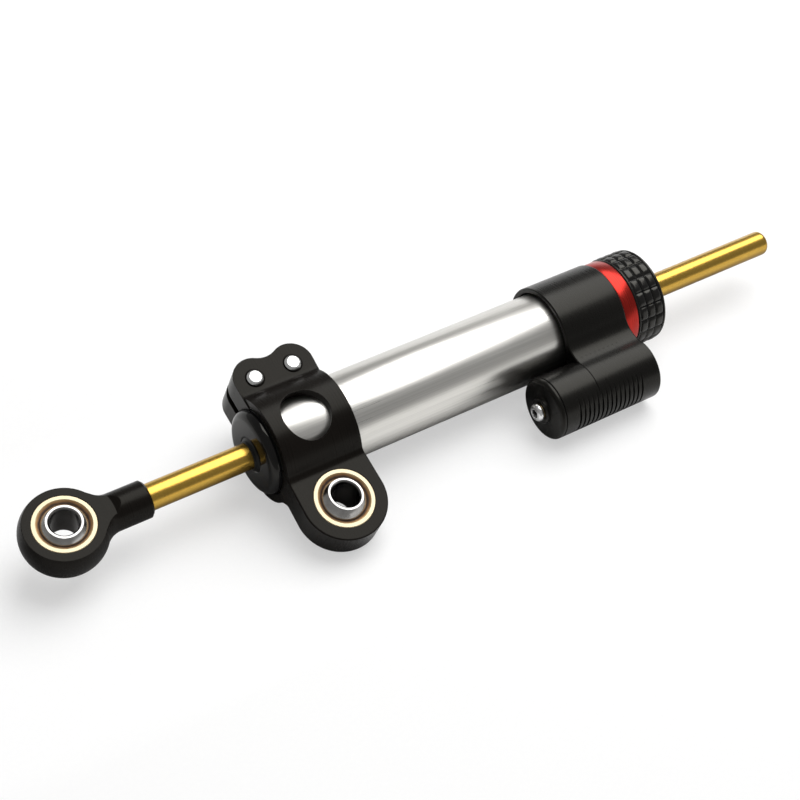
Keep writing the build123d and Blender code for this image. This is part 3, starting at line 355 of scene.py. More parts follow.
def noise_node(tree, vector, scale, detail, roughness=0.5):
    """Noise texture over a vector."""
    node = tree.nodes.new("ShaderNodeTexNoise")
    node.inputs["Detail"].default_value = detail
    node.inputs["Roughness"].default_value = roughness
    put(tree, node.inputs["Scale"], scale)
    tree.links.new(vector, node.inputs["Vector"])
    return node.outputs["Fac"]


def mixed_colour(tree, factor, first, second):
    """Mix of a colour socket and a plain colour."""
    node = tree.nodes.new("ShaderNodeMix")
    node.data_type = "RGBA"
    tree.links.new(factor, node.inputs["Factor"])
    tree.links.new(first, node.inputs["A"])
    node.inputs["B"].default_value = (*second, 1.0)
    return node.outputs["Result"]


def attribute(tree, name):
    """Number that the mesh carries on its points."""
    node = tree.nodes.new("ShaderNodeAttribute")
    node.attribute_name = name
    return node.outputs["Fac"]


def build_turning_marks():
    """Fine lines left by a lathe or a brush: noise that is stretched round the X axis."""
    numbers = (("Lines", 2500.0), ("Drift", 30.0))
    tree, entry, leave = group_tree("turning_marks", numbers, (("Mark", "NodeSocketFloat"),))
    split = tree.nodes.new("ShaderNodeSeparateXYZ")
    tree.links.new(entry.outputs["Vector"], split.inputs[0])
    combine = tree.nodes.new("ShaderNodeCombineXYZ")
    for axis, stretch in (("X", "Lines"), ("Y", "Drift"), ("Z", "Drift")):
        scaled = math_node(tree, "MULTIPLY", split.outputs[axis], entry.outputs[stretch])
        tree.links.new(scaled, combine.inputs[axis])
    tree.links.new(noise_node(tree, combine.outputs[0], 1.0, 3.0, 0.6), leave.inputs["Mark"])


def build_fine_grain():
    """Grain of a blasted or cast surface, coarse blotches over fine speckle."""
    numbers = (("Grain Scale", 4000.0), ("Blotch Scale", 60.0), ("Blotch Share", 0.35))
    results = (("Grain", "NodeSocketFloat"), ("Blotch", "NodeSocketFloat"))
    tree, entry, leave = group_tree("fine_grain", numbers, results)
    speckle = noise_node(tree, entry.outputs["Vector"], entry.outputs["Grain Scale"], 2.0)
    blotch = noise_node(tree, entry.outputs["Vector"], entry.outputs["Blotch Scale"], 4.0)
    mixed = tree.nodes.new("ShaderNodeMix")
    tree.links.new(entry.outputs["Blotch Share"], mixed.inputs["Factor"])
    tree.links.new(speckle, mixed.inputs["A"])
    tree.links.new(blotch, mixed.inputs["B"])
    tree.links.new(mixed.outputs["Result"], leave.inputs["Grain"])
    tree.links.new(blotch, leave.inputs["Blotch"])


def build_edge_wear():
    """Mask of the outer edges, from the difference between the rounded and the true normal."""
    numbers = (("Width", 0.0003), ("Strength", 1.0))
    results = (("Edge", "NodeSocketFloat"), ("Round Normal", "NodeSocketVector"))
    tree, entry, leave = group_tree("edge_wear", numbers, results)
    rounded = tree.nodes.new("ShaderNodeBevel")
    rounded.samples = 6
    tree.links.new(entry.outputs["Width"], rounded.inputs["Radius"])
    geometry = tree.nodes.new("ShaderNodeNewGeometry")
    dot = tree.nodes.new("ShaderNodeVectorMath")
    dot.operation = "DOT_PRODUCT"
    tree.links.new(rounded.outputs["Normal"], dot.inputs[0])
    tree.links.new(geometry.outputs["Normal"], dot.inputs[1])
    away = math_node(tree, "SUBTRACT", 1.0, dot.outputs["Value"])
    broken = math_node(tree, "MULTIPLY", away, noise_node(tree, entry.outputs["Vector"], 900.0, 3.0))
    scaled = math_node(tree, "MULTIPLY", broken, entry.outputs["Strength"], clamp=True)
    tree.links.new(scaled, leave.inputs["Edge"])
    tree.links.new(rounded.outputs["Normal"], leave.inputs["Round Normal"])


def use_group(tree, name, **values):
    """Places a shader node group and sets its inputs by name."""
    node = tree.nodes.new("ShaderNodeGroup")
    node.node_tree = bpy.data.node_groups[name]
    for label, value in values.items():
        put(tree, node.inputs[label.replace("_", " ")], value)
    return node


def ramp(tree, factor, stops):
    """Colour ramp of (place, colour) stops."""
    node = tree.nodes.new("ShaderNodeValToRGB")
    elements = node.color_ramp.elements
    while len(elements) < len(stops):
        elements.new(0.5)
    for element, (place, colour) in zip(elements, stops):
        element.position = place
        element.color = (*colour, 1.0)
    tree.links.new(factor, node.inputs["Fac"])
    return node.outputs["Color"]


def span(tree, factor, start, end):
    """Maps a 0 to 1 socket onto a span of numbers."""
    node = tree.nodes.new("ShaderNodeMapRange")
    node.inputs["To Min"].default_value = start
    node.inputs["To Max"].default_value = end
    tree.links.new(factor, node.inputs["Value"])
    return node.outputs["Result"]


def bumped(tree, height, strength, distance, normal=None):
    """Bump node over an optional normal."""
    node = tree.nodes.new("ShaderNodeBump")
    node.inputs["Strength"].default_value = strength
    node.inputs["Distance"].default_value = distance
    tree.links.new(height, node.inputs["Height"])
    if normal is not None:
        tree.links.new(normal, node.inputs["Normal"])
    return node.outputs["Normal"]


def painted_recess_shade(tree, colour):
    """Colour that goes to a near-black brown in the recesses that the mesh marks: painted shade."""
    return mixed_colour(tree, attribute(tree, "recess"), colour, (0.03, 0.027, 0.025))


def shade(colour, share):
    """Colour made darker or paler by a share."""
    return tuple(part * share for part in colour)


def new_material(name):
    """Material with a Principled shader; returns it, its tree, the shader and Object coordinates."""
    material = bpy.data.materials.new(name)
    material.use_nodes = True
    tree = material.node_tree
    shader = tree.nodes["Principled BSDF"]
    place = tree.nodes.new("ShaderNodeTexCoord")
    return material, tree, shader, place.outputs["Object"]


def turned_metal(name, dark, pale, rough, lines=2500.0, drift=30.0, bump=0.08):
    """Metal with lathe or brush marks round the X axis."""
    material, tree, shader, place = new_material(name)
    marks = use_group(tree, "turning_marks", Vector=place, Lines=lines, Drift=drift)
    grain = use_group(tree, "fine_grain", Vector=place)
    streaks = ramp(tree, marks.outputs["Mark"], ((0.3, dark), (0.7, pale)))
    # Painted shade: points that the mesh marks as a recess, such as a screw socket's floor, go to near black.
    tree.links.new(painted_recess_shade(tree, streaks), shader.inputs["Base Color"])
    shader.inputs["Metallic"].default_value = 1.0
    mixed = math_node(tree, "ADD", marks.outputs["Mark"], grain.outputs["Blotch"])
    half = math_node(tree, "MULTIPLY", mixed, 0.5)
    tree.links.new(span(tree, half, rough[0], rough[1]), shader.inputs["Roughness"])
    wear = use_group(tree, "edge_wear", Vector=place, Width=0.00015, Strength=0.0)
    normal = bumped(tree, marks.outputs["Mark"], bump, 0.00003, wear.outputs["Round Normal"])
    tree.links.new(normal, shader.inputs["Normal"])
    return material


def anodised(name, colour, worn, rough, edge_width=0.00025, wear=0.9, marks_bump=0.02, coat=0.0, gloss=0.2):
    """Satin anodised aluminium with faint cutter marks, rounded edges and a trace of wear on them."""
    material, tree, shader, place = new_material(name)
    grain = use_group(tree, "fine_grain", Vector=place, Grain_Scale=5000.0, Blotch_Scale=45.0)
    marks = use_group(tree, "turning_marks", Vector=place, Lines=1600.0, Drift=60.0)
    edge = use_group(tree, "edge_wear", Vector=place, Width=edge_width, Strength=wear)
    body = ramp(tree, grain.outputs["Blotch"], ((0.35, shade(colour, 0.85)), (0.65, shade(colour, 1.2))))
    tree.links.new(mixed_colour(tree, edge.outputs["Edge"], body, worn), shader.inputs["Base Color"])
    mixed = math_node(tree, "ADD", marks.outputs["Mark"], grain.outputs["Grain"])
    half = math_node(tree, "MULTIPLY", mixed, 0.5)
    tree.links.new(span(tree, half, rough[0], rough[1]), shader.inputs["Roughness"])
    # Painted shade: reflections fade out where the mesh marks a recess, such as the knob's groove floor.
    tree.links.new(span(tree, attribute(tree, "recess"), gloss, 0.03), shader.inputs["Specular IOR Level"])
    shader.inputs["Specular Tint"].default_value = (1.0, 0.97, 0.87, 1.0)
    shader.inputs["Coat Weight"].default_value = coat
    first = bumped(tree, grain.outputs["Grain"], 0.06, 0.00004, edge.outputs["Round Normal"])
    second = bumped(tree, marks.outputs["Mark"], marks_bump, 0.00003, first)
    tree.links.new(second, shader.inputs["Normal"])
    return material


def soft_rubber():
    """Black rubber with a fine bloom."""
    material, tree, shader, place = new_material("seal_rubber")
    grain = use_group(tree, "fine_grain", Vector=place, Grain_Scale=6000.0)
    colours = ((0.3, (0.004, 0.004, 0.004)), (0.75, (0.011, 0.011, 0.011)))
    tree.links.new(ramp(tree, grain.outputs["Grain"], colours), shader.inputs["Base Color"])
    tree.links.new(span(tree, grain.outputs["Grain"], 0.3, 0.5), shader.inputs["Roughness"])
    shader.inputs["Specular IOR Level"].default_value = 0.2
    normal = bumped(tree, grain.outputs["Grain"], 0.15, 0.00005)
    tree.links.new(normal, shader.inputs["Normal"])
    return material


def bearing_race():
    """Race with pale plated faces that turn to a rusty brown towards the seat."""
    material, tree, shader, place = new_material("bearing_race")
    grain = use_group(tree, "fine_grain", Vector=place, Grain_Scale=3000.0, Blotch_Scale=420.0)
    seat = attribute(tree, "seat")
    rough_edge = math_node(tree, "MULTIPLY", grain.outputs["Blotch"], 0.5)
    shifted = math_node(tree, "ADD", seat, math_node(tree, "SUBTRACT", rough_edge, 0.25))
    stops = (
        (0.0, (0.48, 0.41, 0.28)),
        (0.2, (0.45, 0.36, 0.22)),
        (0.36, (0.42, 0.24, 0.09)),
        (0.62, (0.30, 0.16, 0.07)),
        (0.9, (0.07, 0.045, 0.03)),
    )
    tree.links.new(ramp(tree, shifted, stops), shader.inputs["Base Color"])
    tree.links.new(span(tree, seat, 1.0, 0.55), shader.inputs["Metallic"])
    tree.links.new(span(tree, seat, 0.42, 0.6), shader.inputs["Roughness"])
    normal = bumped(tree, grain.outputs["Grain"], 0.15, 0.00004)
    tree.links.new(normal, shader.inputs["Normal"])
    return material


def ball_steel():
    """Polished ball, with painted shade in its bore."""
    material, tree, shader, place = new_material("ball_steel")
    grain = use_group(tree, "fine_grain", Vector=place, Grain_Scale=2500.0, Blotch_Scale=260.0)
    bright = ramp(tree, grain.outputs["Blotch"], ((0.3, (0.30, 0.29, 0.28)), (0.7, (0.46, 0.45, 0.44))))
    tree.links.new(painted_recess_shade(tree, bright), shader.inputs["Base Color"])
    shader.inputs["Metallic"].default_value = 1.0
    tree.links.new(span(tree, grain.outputs["Grain"], 0.12, 0.3), shader.inputs["Roughness"])
    normal = bumped(tree, grain.outputs["Grain"], 0.08, 0.00003)
    tree.links.new(normal, shader.inputs["Normal"])
    return material


def floor_paper():
    """White paper floor that shows white to the camera, keeps the shadows and carries painted shade in what the
    object mirrors of it underneath.
    """
    material, tree, shader, place = new_material("studio_paper")
    grain = use_group(tree, "fine_grain", Vector=place, Grain_Scale=900.0, Blotch_Scale=6.0)
    colours = ((0.3, (0.93, 0.93, 0.93)), (0.7, (0.96, 0.96, 0.955)))
    paper = ramp(tree, grain.outputs["Grain"], colours)
    path = tree.nodes.new("ShaderNodeLightPath")
    split = tree.nodes.new("ShaderNodeSeparateXYZ")
    tree.links.new(place, split.inputs[0])
    away = math_node(tree, "ABSOLUTE", split.outputs["Y"])
    under = tree.nodes.new("ShaderNodeMapRange")
    under.inputs["From Min"].default_value = UNDERSIDE_EDGE * MM
    under.inputs["From Max"].default_value = UNDERSIDE * MM
    under.inputs["To Max"].default_value = UNDERSIDE_SHADE
    tree.links.new(away, under.inputs["Value"])
    # Painted shade: rays that mirror the floor see it darkened towards near black under the object.
    share = math_node(tree, "MULTIPLY", under.outputs["Result"], path.outputs["Is Glossy Ray"])
    tree.links.new(mixed_colour(tree, share, paper, (0.02, 0.02, 0.02)), shader.inputs["Base Color"])
    shader.inputs["Roughness"].default_value = 0.55
    shader.inputs["Specular IOR Level"].default_value = 0.1
    glow = tree.nodes.new("ShaderNodeEmission")
    share = math_node(tree, "MULTIPLY", path.outputs["Is Camera Ray"], 0.5)
    mix = tree.nodes.new("ShaderNodeMixShader")
    tree.links.new(share, mix.inputs["Fac"])
    tree.links.new(shader.outputs[0], mix.inputs[1])
    tree.links.new(glow.outputs[0], mix.inputs[2])
    tree.links.new(mix.outputs[0], tree.nodes["Material Output"].inputs["Surface"])
    return material


MATERIALS = {}

# Finish, material's name, darker and paler colour, roughness span, and lines, drift and bump of its marks
METALS = (
    ("bolt", "plated_bolt", (0.66, 0.66, 0.66), (0.84, 0.84, 0.83), (0.16, 0.32), 1500.0, 900.0, 0.05),
    ("spring", "spring_steel", (0.2, 0.2, 0.21), (0.34, 0.34, 0.35), (0.3, 0.5), 1500.0, 900.0),
    ("liner", "honed_liner", (0.6, 0.6, 0.61), (0.76, 0.76, 0.77), (0.2, 0.35)),
    ("inner", "machined_aluminium", (0.6, 0.6, 0.62), (0.78, 0.78, 0.8), (0.28, 0.42), 1200.0),
    ("bronze", "sintered_bronze", (0.4, 0.25, 0.1), (0.6, 0.4, 0.18), (0.4, 0.6), 900.0, 900.0),
    ("brass", "turned_brass", (0.3, 0.23, 0.12), (0.42, 0.33, 0.18), (0.22, 0.36), 2200.0),
)
SATIN_ROUGHNESS = (0.2, 0.36)


def build_materials(colours):
    """Every finish, from the colours that the panel shows."""
    build_turning_marks()
    build_fine_grain()
    build_edge_wear()
    black, gold, red, silver = (tuple(getattr(colours, name)) for name in ("black", "gold", "red", "silver"))
    warm = (black[0] * 1.5, black[1] * 1.25, black[2] * 1.1)
    worn = (0.06, 0.06, 0.06)
    MATERIALS["black"] = anodised("black_anodised", black, worn, SATIN_ROUGHNESS)
    MATERIALS["satin"] = anodised(
        "satin_black", warm, (0.05, 0.05, 0.05), SATIN_ROUGHNESS, marks_bump=0.004, gloss=0.105
    )
    MATERIALS["fine_black"] = anodised("fine_black", black, worn, SATIN_ROUGHNESS, 0.00003)
    MATERIALS["gloss"] = anodised(
        "gloss_black_cap", (0.003, 0.003, 0.0035), (0.03, 0.03, 0.03), (0.05, 0.12), 0.0002, 0.3, 0.01, 0.12
    )
    MATERIALS["knob"] = anodised(
        "knob_black", (0.004, 0.004, 0.0045), (0.04, 0.04, 0.04), (0.16, 0.3), 0.0002, 0.6, 0.01, gloss=0.32
    )
    MATERIALS["slide"] = anodised("slide_plastic", (0.09, 0.06, 0.04), (0.16, 0.12, 0.08), (0.4, 0.55), 0.0001, 0.2)
    MATERIALS["red"] = turned_metal("red_anodised", shade(red, 0.75), red, (0.2, 0.36), 2600.0, 20.0, 0.12)
    MATERIALS["tube"] = turned_metal("brushed_tube", shade(silver, 0.86), silver, (0.22, 0.38), 18.0, 2600.0, 0.14)
    MATERIALS["gold"] = turned_metal("gold_coated_rod", shade(gold, 0.82), gold, (0.16, 0.32), 3600.0, 30.0, 0.12)
    for finish, *values in METALS:
        MATERIALS[finish] = turned_metal(*values)
    MATERIALS["ball"] = ball_steel()
    MATERIALS["rubber"] = soft_rubber()
    MATERIALS["race"] = bearing_race()
    MATERIALS["paper"] = floor_paper()


SLOT_FINISH = {
    "anodised_black": "black",
    "gold_rod": "gold",
    "brushed_tube": "tube",
    "liner": "liner",
    "bearing_steel": "race",
    "ball_steel": "ball",
    "steel_fasteners": "bolt",
    "spring_steel": "spring",
    "red_anodised": "red",
    "rubber_seals": "rubber",
    "bronze": "bronze",
    "slide_plastic": "slide",
    "inner_aluminium": "inner",
    "brass": "brass",
}


NODE_FINISH = {"clamp_body": "satin", "rod_end_housing": "satin", "rear_housing": "fine_black"}


def dress_cad_nodes():
    """Gives each CAD node the finish of its slot, or its own where it has one."""
    for part in frame["record"]["subparts"]:
        node = frame["nodes"][part["node"]]
        finish = MATERIALS[NODE_FINISH.get(part["node"], SLOT_FINISH[part["material_slot"]])]
        node.data.materials.clear()
        node.data.materials.append(finish)


# Pieces


def tube_piece(sizes):
    """Outer tube, turned, with a small break at its ends."""
    start, end = low("main_tube"), high("main_tube")
    outer = high("main_tube", 2)
    points = ((start, outer), (end, outer), (end, outer - TUBE_WALL), (start, outer - TUBE_WALL))
    bm = turned(points, FINE_STEPS, closed=True)
    soften(bm, sizes.small_break / MM)
    return finished("tube_shell", bm, "damper_body", "main_tube", "tube")


def gland_piece(sizes):
    """Glossy front cap with its domed edge, a lip line near the tube and a step for the wiper."""
    start, end = low("front_gland"), high("front_gland")
    seat = low("main_tube")
    outer = high("front_gland", 2)
    round_off = sizes.cap_round / MM
    wiper = high("front_wiper", 2)
    depth, width = WIPER_POCKET
    near, far = GLAND_NECK
    points = [(start + GLAND_MOUTH[0], wiper + SLIDE_GAP), (start, wiper + GLAND_MOUTH[1])]
    points += quarter(start, round_off, outer, round_off)
    points += [(seat - back, outer - drop) for back, drop in GLAND_LIP_LINE]
    points += [(seat, outer), (seat, outer - near), (end, outer - far), (end, wiper + width)]
    points += [(start + depth, wiper + width), (start + depth, wiper + SLIDE_GAP)]
    bm = turned(points, CAP_STEPS, closed=True)
    return finished("front_gland_cap", bm, "damper_body", "front_gland", "gloss")


def wiper_piece(name, node, inward):
    """Rubber wiper with a conical lip; inward is +1 where the lip is at the low end."""
    start, end = low(node), high(node)
    lip, floor = (start, end) if inward > 0 else (end, start)
    outer = high(node, 2)
    waist, bore = WIPER_INSIDE
    points = [(lip + inward * back, radius) for back, radius in WIPER_LIP]
    points += [(lip + inward * back, outer - drop) for back, drop in WIPER_SHOULDER]
    points += [(floor, outer - WIPER_SHOULDER[1][1]), (floor, bore), (lip + inward * waist[0], waist[1])]
    bm = turned(points, closed=True)
    soften(bm, FINE_BREAK)
    return finished(name, bm, "damper_body", node, "rubber")


def rod_piece(sizes):
    """Gold rod with its rounded tip and the stub in the shank."""
    start, end = low("piston_rod"), high("piston_rod")
    shoulder = start + STUB_LENGTH
    radius = high("piston_rod", 2)
    tip = sizes.tip_round / MM
    points = [(start, 0), (start, STUB_RADIUS - END_BREAK), (start + END_BREAK, STUB_RADIUS)]
    points += [(shoulder, STUB_RADIUS), (shoulder, radius)]
    points += quarter(end, -tip, radius, tip * TIP_FLATNESS)[::-1]
    bm = turned(points + [(end, 0)])
    return finished("gold_rod", bm, "rod", "piston_rod", "gold")


def ring_piece(sizes):
    """Red ring with the knob's sleeve behind it."""
    start, end = low("detent_ring"), high("detent_ring")
    face = low("adjuster_knob") - FACE_GAP
    rim = high("detent_ring", 2)
    points = (
        (start, ROD_BORE),
        (start, rim),
        (face, rim),
        (face, SLEEVE_RADIUS),
        (end, SLEEVE_RADIUS),
        (end, SLEEVE_BORE),
        (end - SLEEVE_RECESS, SLEEVE_BORE),
        (end - SLEEVE_RECESS, ROD_BORE),
    )
    bm = turned(points, FINE_STEPS, closed=True)
    soften(bm, sizes.small_break / MM)
    return finished("red_ring", bm, "damper_body", "detent_ring", "red")


def knob_core(x0, x1, outer, deep):
    """Knob's body under its pads: rims, groove floor, bore and rear recess; the groove floor is marked for painted
    shade.
    """
    points = [(x0, KNOB_BORE)]
    points += [(x0 + back, outer - drop) for back, drop in KNOB_FRONT_RIM]
    points += [(x0 + PADS_FROM + PAD_WALL, deep), (x1 - PADS_TO - PAD_WALL, deep)]
    points += [(x1 - back, outer - drop) for back, drop in KNOB_REAR_RIM]
    points += [(x1, KNOB_RECESS + END_BREAK), (x1 - END_BREAK, KNOB_RECESS)]
    points += [(x1 - KNOB_RECESS_DEPTH, KNOB_RECESS), (x1 - KNOB_RECESS_DEPTH, KNOB_BORE)]
    bm = turned(points, KNOB_STEPS, closed=True)
    soften(bm, CORE_BREAK)
    start, end, floor = x0 + PADS_FROM, x1 - PADS_TO + ON_FACE, deep + ON_FACE
    # Painted shade: the groove floor is marked so that it loses its reflections.
    marked(bm, "recess", lambda x, radius: 1.0 if radius < floor and start < x < end else 0.0)
    return bm


def knob_pad(sizes, at, length, width, base):
    """One pillow pad as a curved grid: full height over its middle, falling to its edges."""
    bm = bmesh.new()
    bmesh.ops.create_grid(bm, x_segments=PAD_GRID, y_segments=PAD_GRID, size=1)
    sink = sizes.pad_sink / MM
    height = sizes.pad_height / MM + sink
    for vert in bm.verts:
        u, v = vert.co.x, vert.co.y
        rise = (1 - abs(u) ** sizes.pad_power) * (1 - abs(v) ** sizes.pad_power)
        radius = (base + height * rise - sink) * MM
        angle = v * width / 2
        vert.co = Vector((at * MM + u * length / 2 * MM, radius * math.sin(angle), radius * math.cos(angle)))
    return bm


def knob_piece(sizes):
    """Knurled knob: rows of pillow pads on a turned core."""
    x0, x1 = low("adjuster_knob"), high("adjuster_knob")
    outer = high("adjuster_knob", 2)
    deep = outer - sizes.pad_height / MM
    parts = [knob_core(x0, x1, outer, deep)]
    start, end = x0 + PADS_FROM, x1 - PADS_TO
    pitch = (end - start) / sizes.pad_rows
    width = FULL_TURN / sizes.pad_count
    for row in range(sizes.pad_rows):
        at = start + (row + 0.5) * pitch
        for step in range(sizes.pad_count):
            pad = knob_pad(sizes, at, pitch * PAD_SHARE[0], width * PAD_SHARE[1], deep)
            move(pad, turn=Matrix.Rotation(width * step, 4, "X"))
            parts.append(pad)
    return finished("knurled_knob", joined(*parts), "adjuster", "adjuster_knob", "knob")


def cap_piece():
    """Domed reservoir cap with its seam, flat face and boss."""
    boss, end = low("reservoir_cap"), high("reservoir_cap")
    barrel = low("rear_housing")
    outer = (high("reservoir_cap", 2) - low("reservoir_cap", 2)) / 2
    points = [(boss, FILL_HOLE)]
    face = boss + BOSS_HEIGHT
    points += [(boss + back, BOSS_RADIUS - drop) for back, drop in BOSS_TOP]
    points += [(face - back, BOSS_RADIUS - drop) for back, drop in BOSS_FOOT]
    points += quarter(face, CAP_DOME, outer, CAP_DOME_RADIAL)
    points += [(barrel - CAP_SEAM_INSET - back, outer - drop) for back, drop in CAP_SEAM]
    points += [(barrel - SKIN, outer), (barrel - SKIN, SPIGOT_RADIUS), (end, SPIGOT_RADIUS), (end, FILL_HOLE)]
    bm = turned(points, CAP_STEPS, closed=True)
    move(bm, centred("reservoir_cap"))
    return finished("domed_cap", bm, "damper_body", "reservoir_cap", "black")


def socket_screw(profile, socket_x, depth, width):
    """Turned screw with a six-sided hole in its head, whose floor is marked for painted shade."""
    blank = bpy.data.objects.new("screw_blank", mesh_of("screw", turned(profile, SMALL_STEPS)))
    plug = bpy.data.objects.new("screw_plug", mesh_of("plug", hex_socket(socket_x, depth, width)))
    for item in (blank, plug):
        bpy.context.scene.collection.objects.link(item)
    cut = blank.modifiers.new("socket", "BOOLEAN")
    cut.operation = "DIFFERENCE"
    cut.solver = "EXACT"
    cut.object = plug
    bpy.context.view_layer.update()
    shape = bpy.data.meshes.new_from_object(blank.evaluated_get(bpy.context.evaluated_depsgraph_get()))
    whole = bmesh.new()
    whole.from_mesh(shape)
    spares = (blank.data, plug.data, shape)
    for item in (blank, plug):
        bpy.data.objects.remove(item)
    for spare in spares:
        bpy.data.meshes.remove(spare)
    wide, floor = width * 0.6, socket_x + depth
    # Painted shade on the socket's floor.
    marked(whole, "recess", lambda x, radius: 1.0 if radius < wide and abs(x - floor) < ON_FACE else 0.0)
    return whole


def fill_screw_piece():
    """Button-head screw of the reservoir cap."""
    top, end = low("fill_screw"), high("fill_screw")
    radius = (high("fill_screw", 2) - low("fill_screw", 2)) / 2
    seat = top + FILL_HEAD
    flat = radius * BUTTON_FLAT
    lip, step = top + BUTTON_LIP[0], flat + BUTTON_LIP[1]
    profile = [(top, 0), (top, flat), (lip, step)]
    profile += quarter(lip, BUTTON_RISE, radius, radius - step, 1, ROUND_STEPS - 1)
    profile += [(top + BUTTON_EDGE, radius), (seat, radius - BUTTON_FOOT), (seat, FILL_SHANK)]
    profile += [(end - END_BREAK, FILL_SHANK), (end, FILL_SHANK - END_BREAK), (end, 0)]
    bm = socket_screw(profile, top, FILL_HEX_DEPTH, FILL_HEX)
    soften(bm, FINE_BREAK, math.radians(50))
    move(bm, centred("fill_screw"))
    return finished("button_screw", bm, "damper_body", "fill_screw", "bolt")


def washer(start, end, hole, rim, width):
    """Flat washer about X with softened edges."""
    bm = turned(((start, hole), (start, rim), (end, rim), (end, hole)), SMALL_STEPS, closed=True)
    soften(bm, width)
    return bm


def seal_washer_piece():
    """Thin washer under the button screw."""
    node = "fill_screw_seal"
    bm = washer(low(node), high(node), FILL_HOLE, FILL_SEAL_RADIUS, PART_BREAK)
    move(bm, centred(node))
    return finished("seal_washer", bm, "damper_body", node, "brass")


def race_points():
    """Half section of a race as (height, radius), with its wide bevel and spherical seat."""
    half = (high("rod_end_race", 2) - low("rod_end_race", 2)) / 2
    outer = high("rod_end_race", 1)
    seat = half - SEAT_INSET
    corner = 0.2
    points = [(-half, RACE_FACE), (-half, outer - corner), (-half + corner, outer), (half - corner, outer)]
    points += [(half, outer - corner), (half, RACE_FACE), (half - RACE_BEVEL_DEPTH, RACE_BEVEL)]
    for step in range(SEAT_STEPS + 1):
        height = seat - 2 * seat * step / SEAT_STEPS
        points.append((height, math.sqrt((BALL_RADIUS + BALL_GAP) ** 2 - height**2)))
    return points + [(-half + RACE_BEVEL_DEPTH, RACE_BEVEL)]


def seat_tone(x, radius):
    """How far a point of a race lies in from its flat face, from 0 to 1."""
    return min(1.0, SEAT_TONE + (RACE_FACE - radius) / SEAT_RUN) if radius < RACE_FACE - SKIN else 0.0


def race_piece(name, node, body, place, turn):
    """Race of a spherical joint, marked with the tone of its seat."""
    bm = turned(race_points(), closed=True)
    marked(bm, "seat", seat_tone)
    move(bm, place, turn @ lay_on_z())
    return finished(name, bm, body, node, "race", math.radians(25))


def ball_points():
    """Half section of a ball as (height, radius), with its flat faces and chamfered bore."""
    half = high("rod_end_ball", 2)
    heights = [half * step / BALL_STEPS for step in range(-BALL_STEPS, BALL_STEPS + 1)]
    points = [(height, math.sqrt((BALL_RADIUS - SKIN) ** 2 - height**2)) for height in heights]
    wide, deep = BALL_BORE + BALL_CHAMFER, half - BALL_CHAMFER
    return points + [(half, wide), (deep, BALL_BORE), (-deep, BALL_BORE), (-half, wide)]


def ball_piece(name, node, body, place, turn, bore_shade):
    """Ball of a spherical joint, its bore marked with a share of painted shade."""
    bm = turned(ball_points(), closed=True)
    # Painted shade: the bore's points carry the share of near-black shade.
    marked(bm, "recess", lambda x, radius: bore_shade if radius < BALL_BORE + ON_FACE else 0.0)
    move(bm, place, turn @ lay_on_z())
    return finished(name, bm, body, node, "ball", math.radians(30))


def bolt_profile():
    """Half section of a clamp bolt, from its head to its chamfered end."""
    head = BOLT_SEAT - HEAD_HEIGHT
    points = [(head, 0), (head, HEAD_RADIUS - 0.5), (head + 0.4, HEAD_RADIUS), (BOLT_SEAT, HEAD_RADIUS)]
    points += [(BOLT_SEAT, BOLT_RADIUS)]
    points += [(BOLT_END - back, BOLT_RADIUS - drop) for back, drop in BOLT_TIP]
    return points + [(BOLT_END, 0)]


def set_on_bolts(name, node, make):
    """Two of a piece that is turned about X, stood on the bolts' axes in the rolled clamp."""
    parts = []
    for x in (low("clamp_bolts") + HEAD_RADIUS, high("clamp_bolts") - HEAD_RADIUS):
        bm = make()
        move(bm, (x, BOLT_REACH, 0), lay_on_z())
        move(bm, turn=CLAMP_TURN)
        parts.append(bm)
    return finished(name, joined(*parts), "clamp", node, "bolt")


def clamp_bolt():
    """One clamp bolt, with its socket below and its plated end on top."""
    bm = socket_screw(bolt_profile(), BOLT_SEAT - HEAD_HEIGHT, BOLT_HEX_DEPTH, BOLT_HEX)
    soften(bm, PART_BREAK, math.radians(40))
    return bm


def clamp_washer():
    """One washer under a bolt's head."""
    return washer(BOLT_SEAT, WASHER_TOP, BOLT_RADIUS + BOLT_GAP, WASHER_RADIUS, WASHER_BREAK)


def lug_place():
    """Centre of the clamp's ball joint, in millimetres."""
    return tuple(middle("clamp_race", axis) for axis in range(3))


def ball_turn():
    """Tilt of the clamp's ball at rest."""
    tilt = Matrix.Rotation(BALL_TILT, 4, "Y")
    return CLAMP_TURN @ Matrix.Rotation(BALL_HEADING, 4, "Z") @ tilt @ Matrix.Rotation(-BALL_HEADING, 4, "Z")


# Stage, camera and light


def floor_height(y):
    """Height of the floor: tipped under the object, which leans on its reservoir, and level further out."""
    lean = max(LEAN_SPAN[0], min(LEAN_SPAN[1], y))
    return FLOOR_LEVEL - FLOOR_SLOPE * lean


def build_floor():
    """Paper floor as one strip of planks across Y, smooth at its bends."""
    bm = bmesh.new()
    start, end = FLOOR_LENGTH
    row = [bm.verts.new((start, y * MM, floor_height(y) * MM)) for y in FLOOR_STATIONS]
    edges = [bm.edges.new(pair) for pair in zip(row, row[1:])]
    bmesh.ops.extrude_edge_only(bm, edges=edges)
    for vert in bm.verts:
        if vert not in row:
            vert.co.x = end
    bmesh.ops.recalc_face_normals(bm, faces=bm.faces)
    if bm.faces[0].normal.z < 0:
        bmesh.ops.reverse_faces(bm, faces=bm.faces)
    for face in bm.faces:
        face.smooth = True
    floor = bpy.data.objects.new("studio_floor", mesh_of("studio_floor", bm))
    bpy.context.scene.collection.objects.link(floor)
    floor.data.materials.append(MATERIALS["paper"])


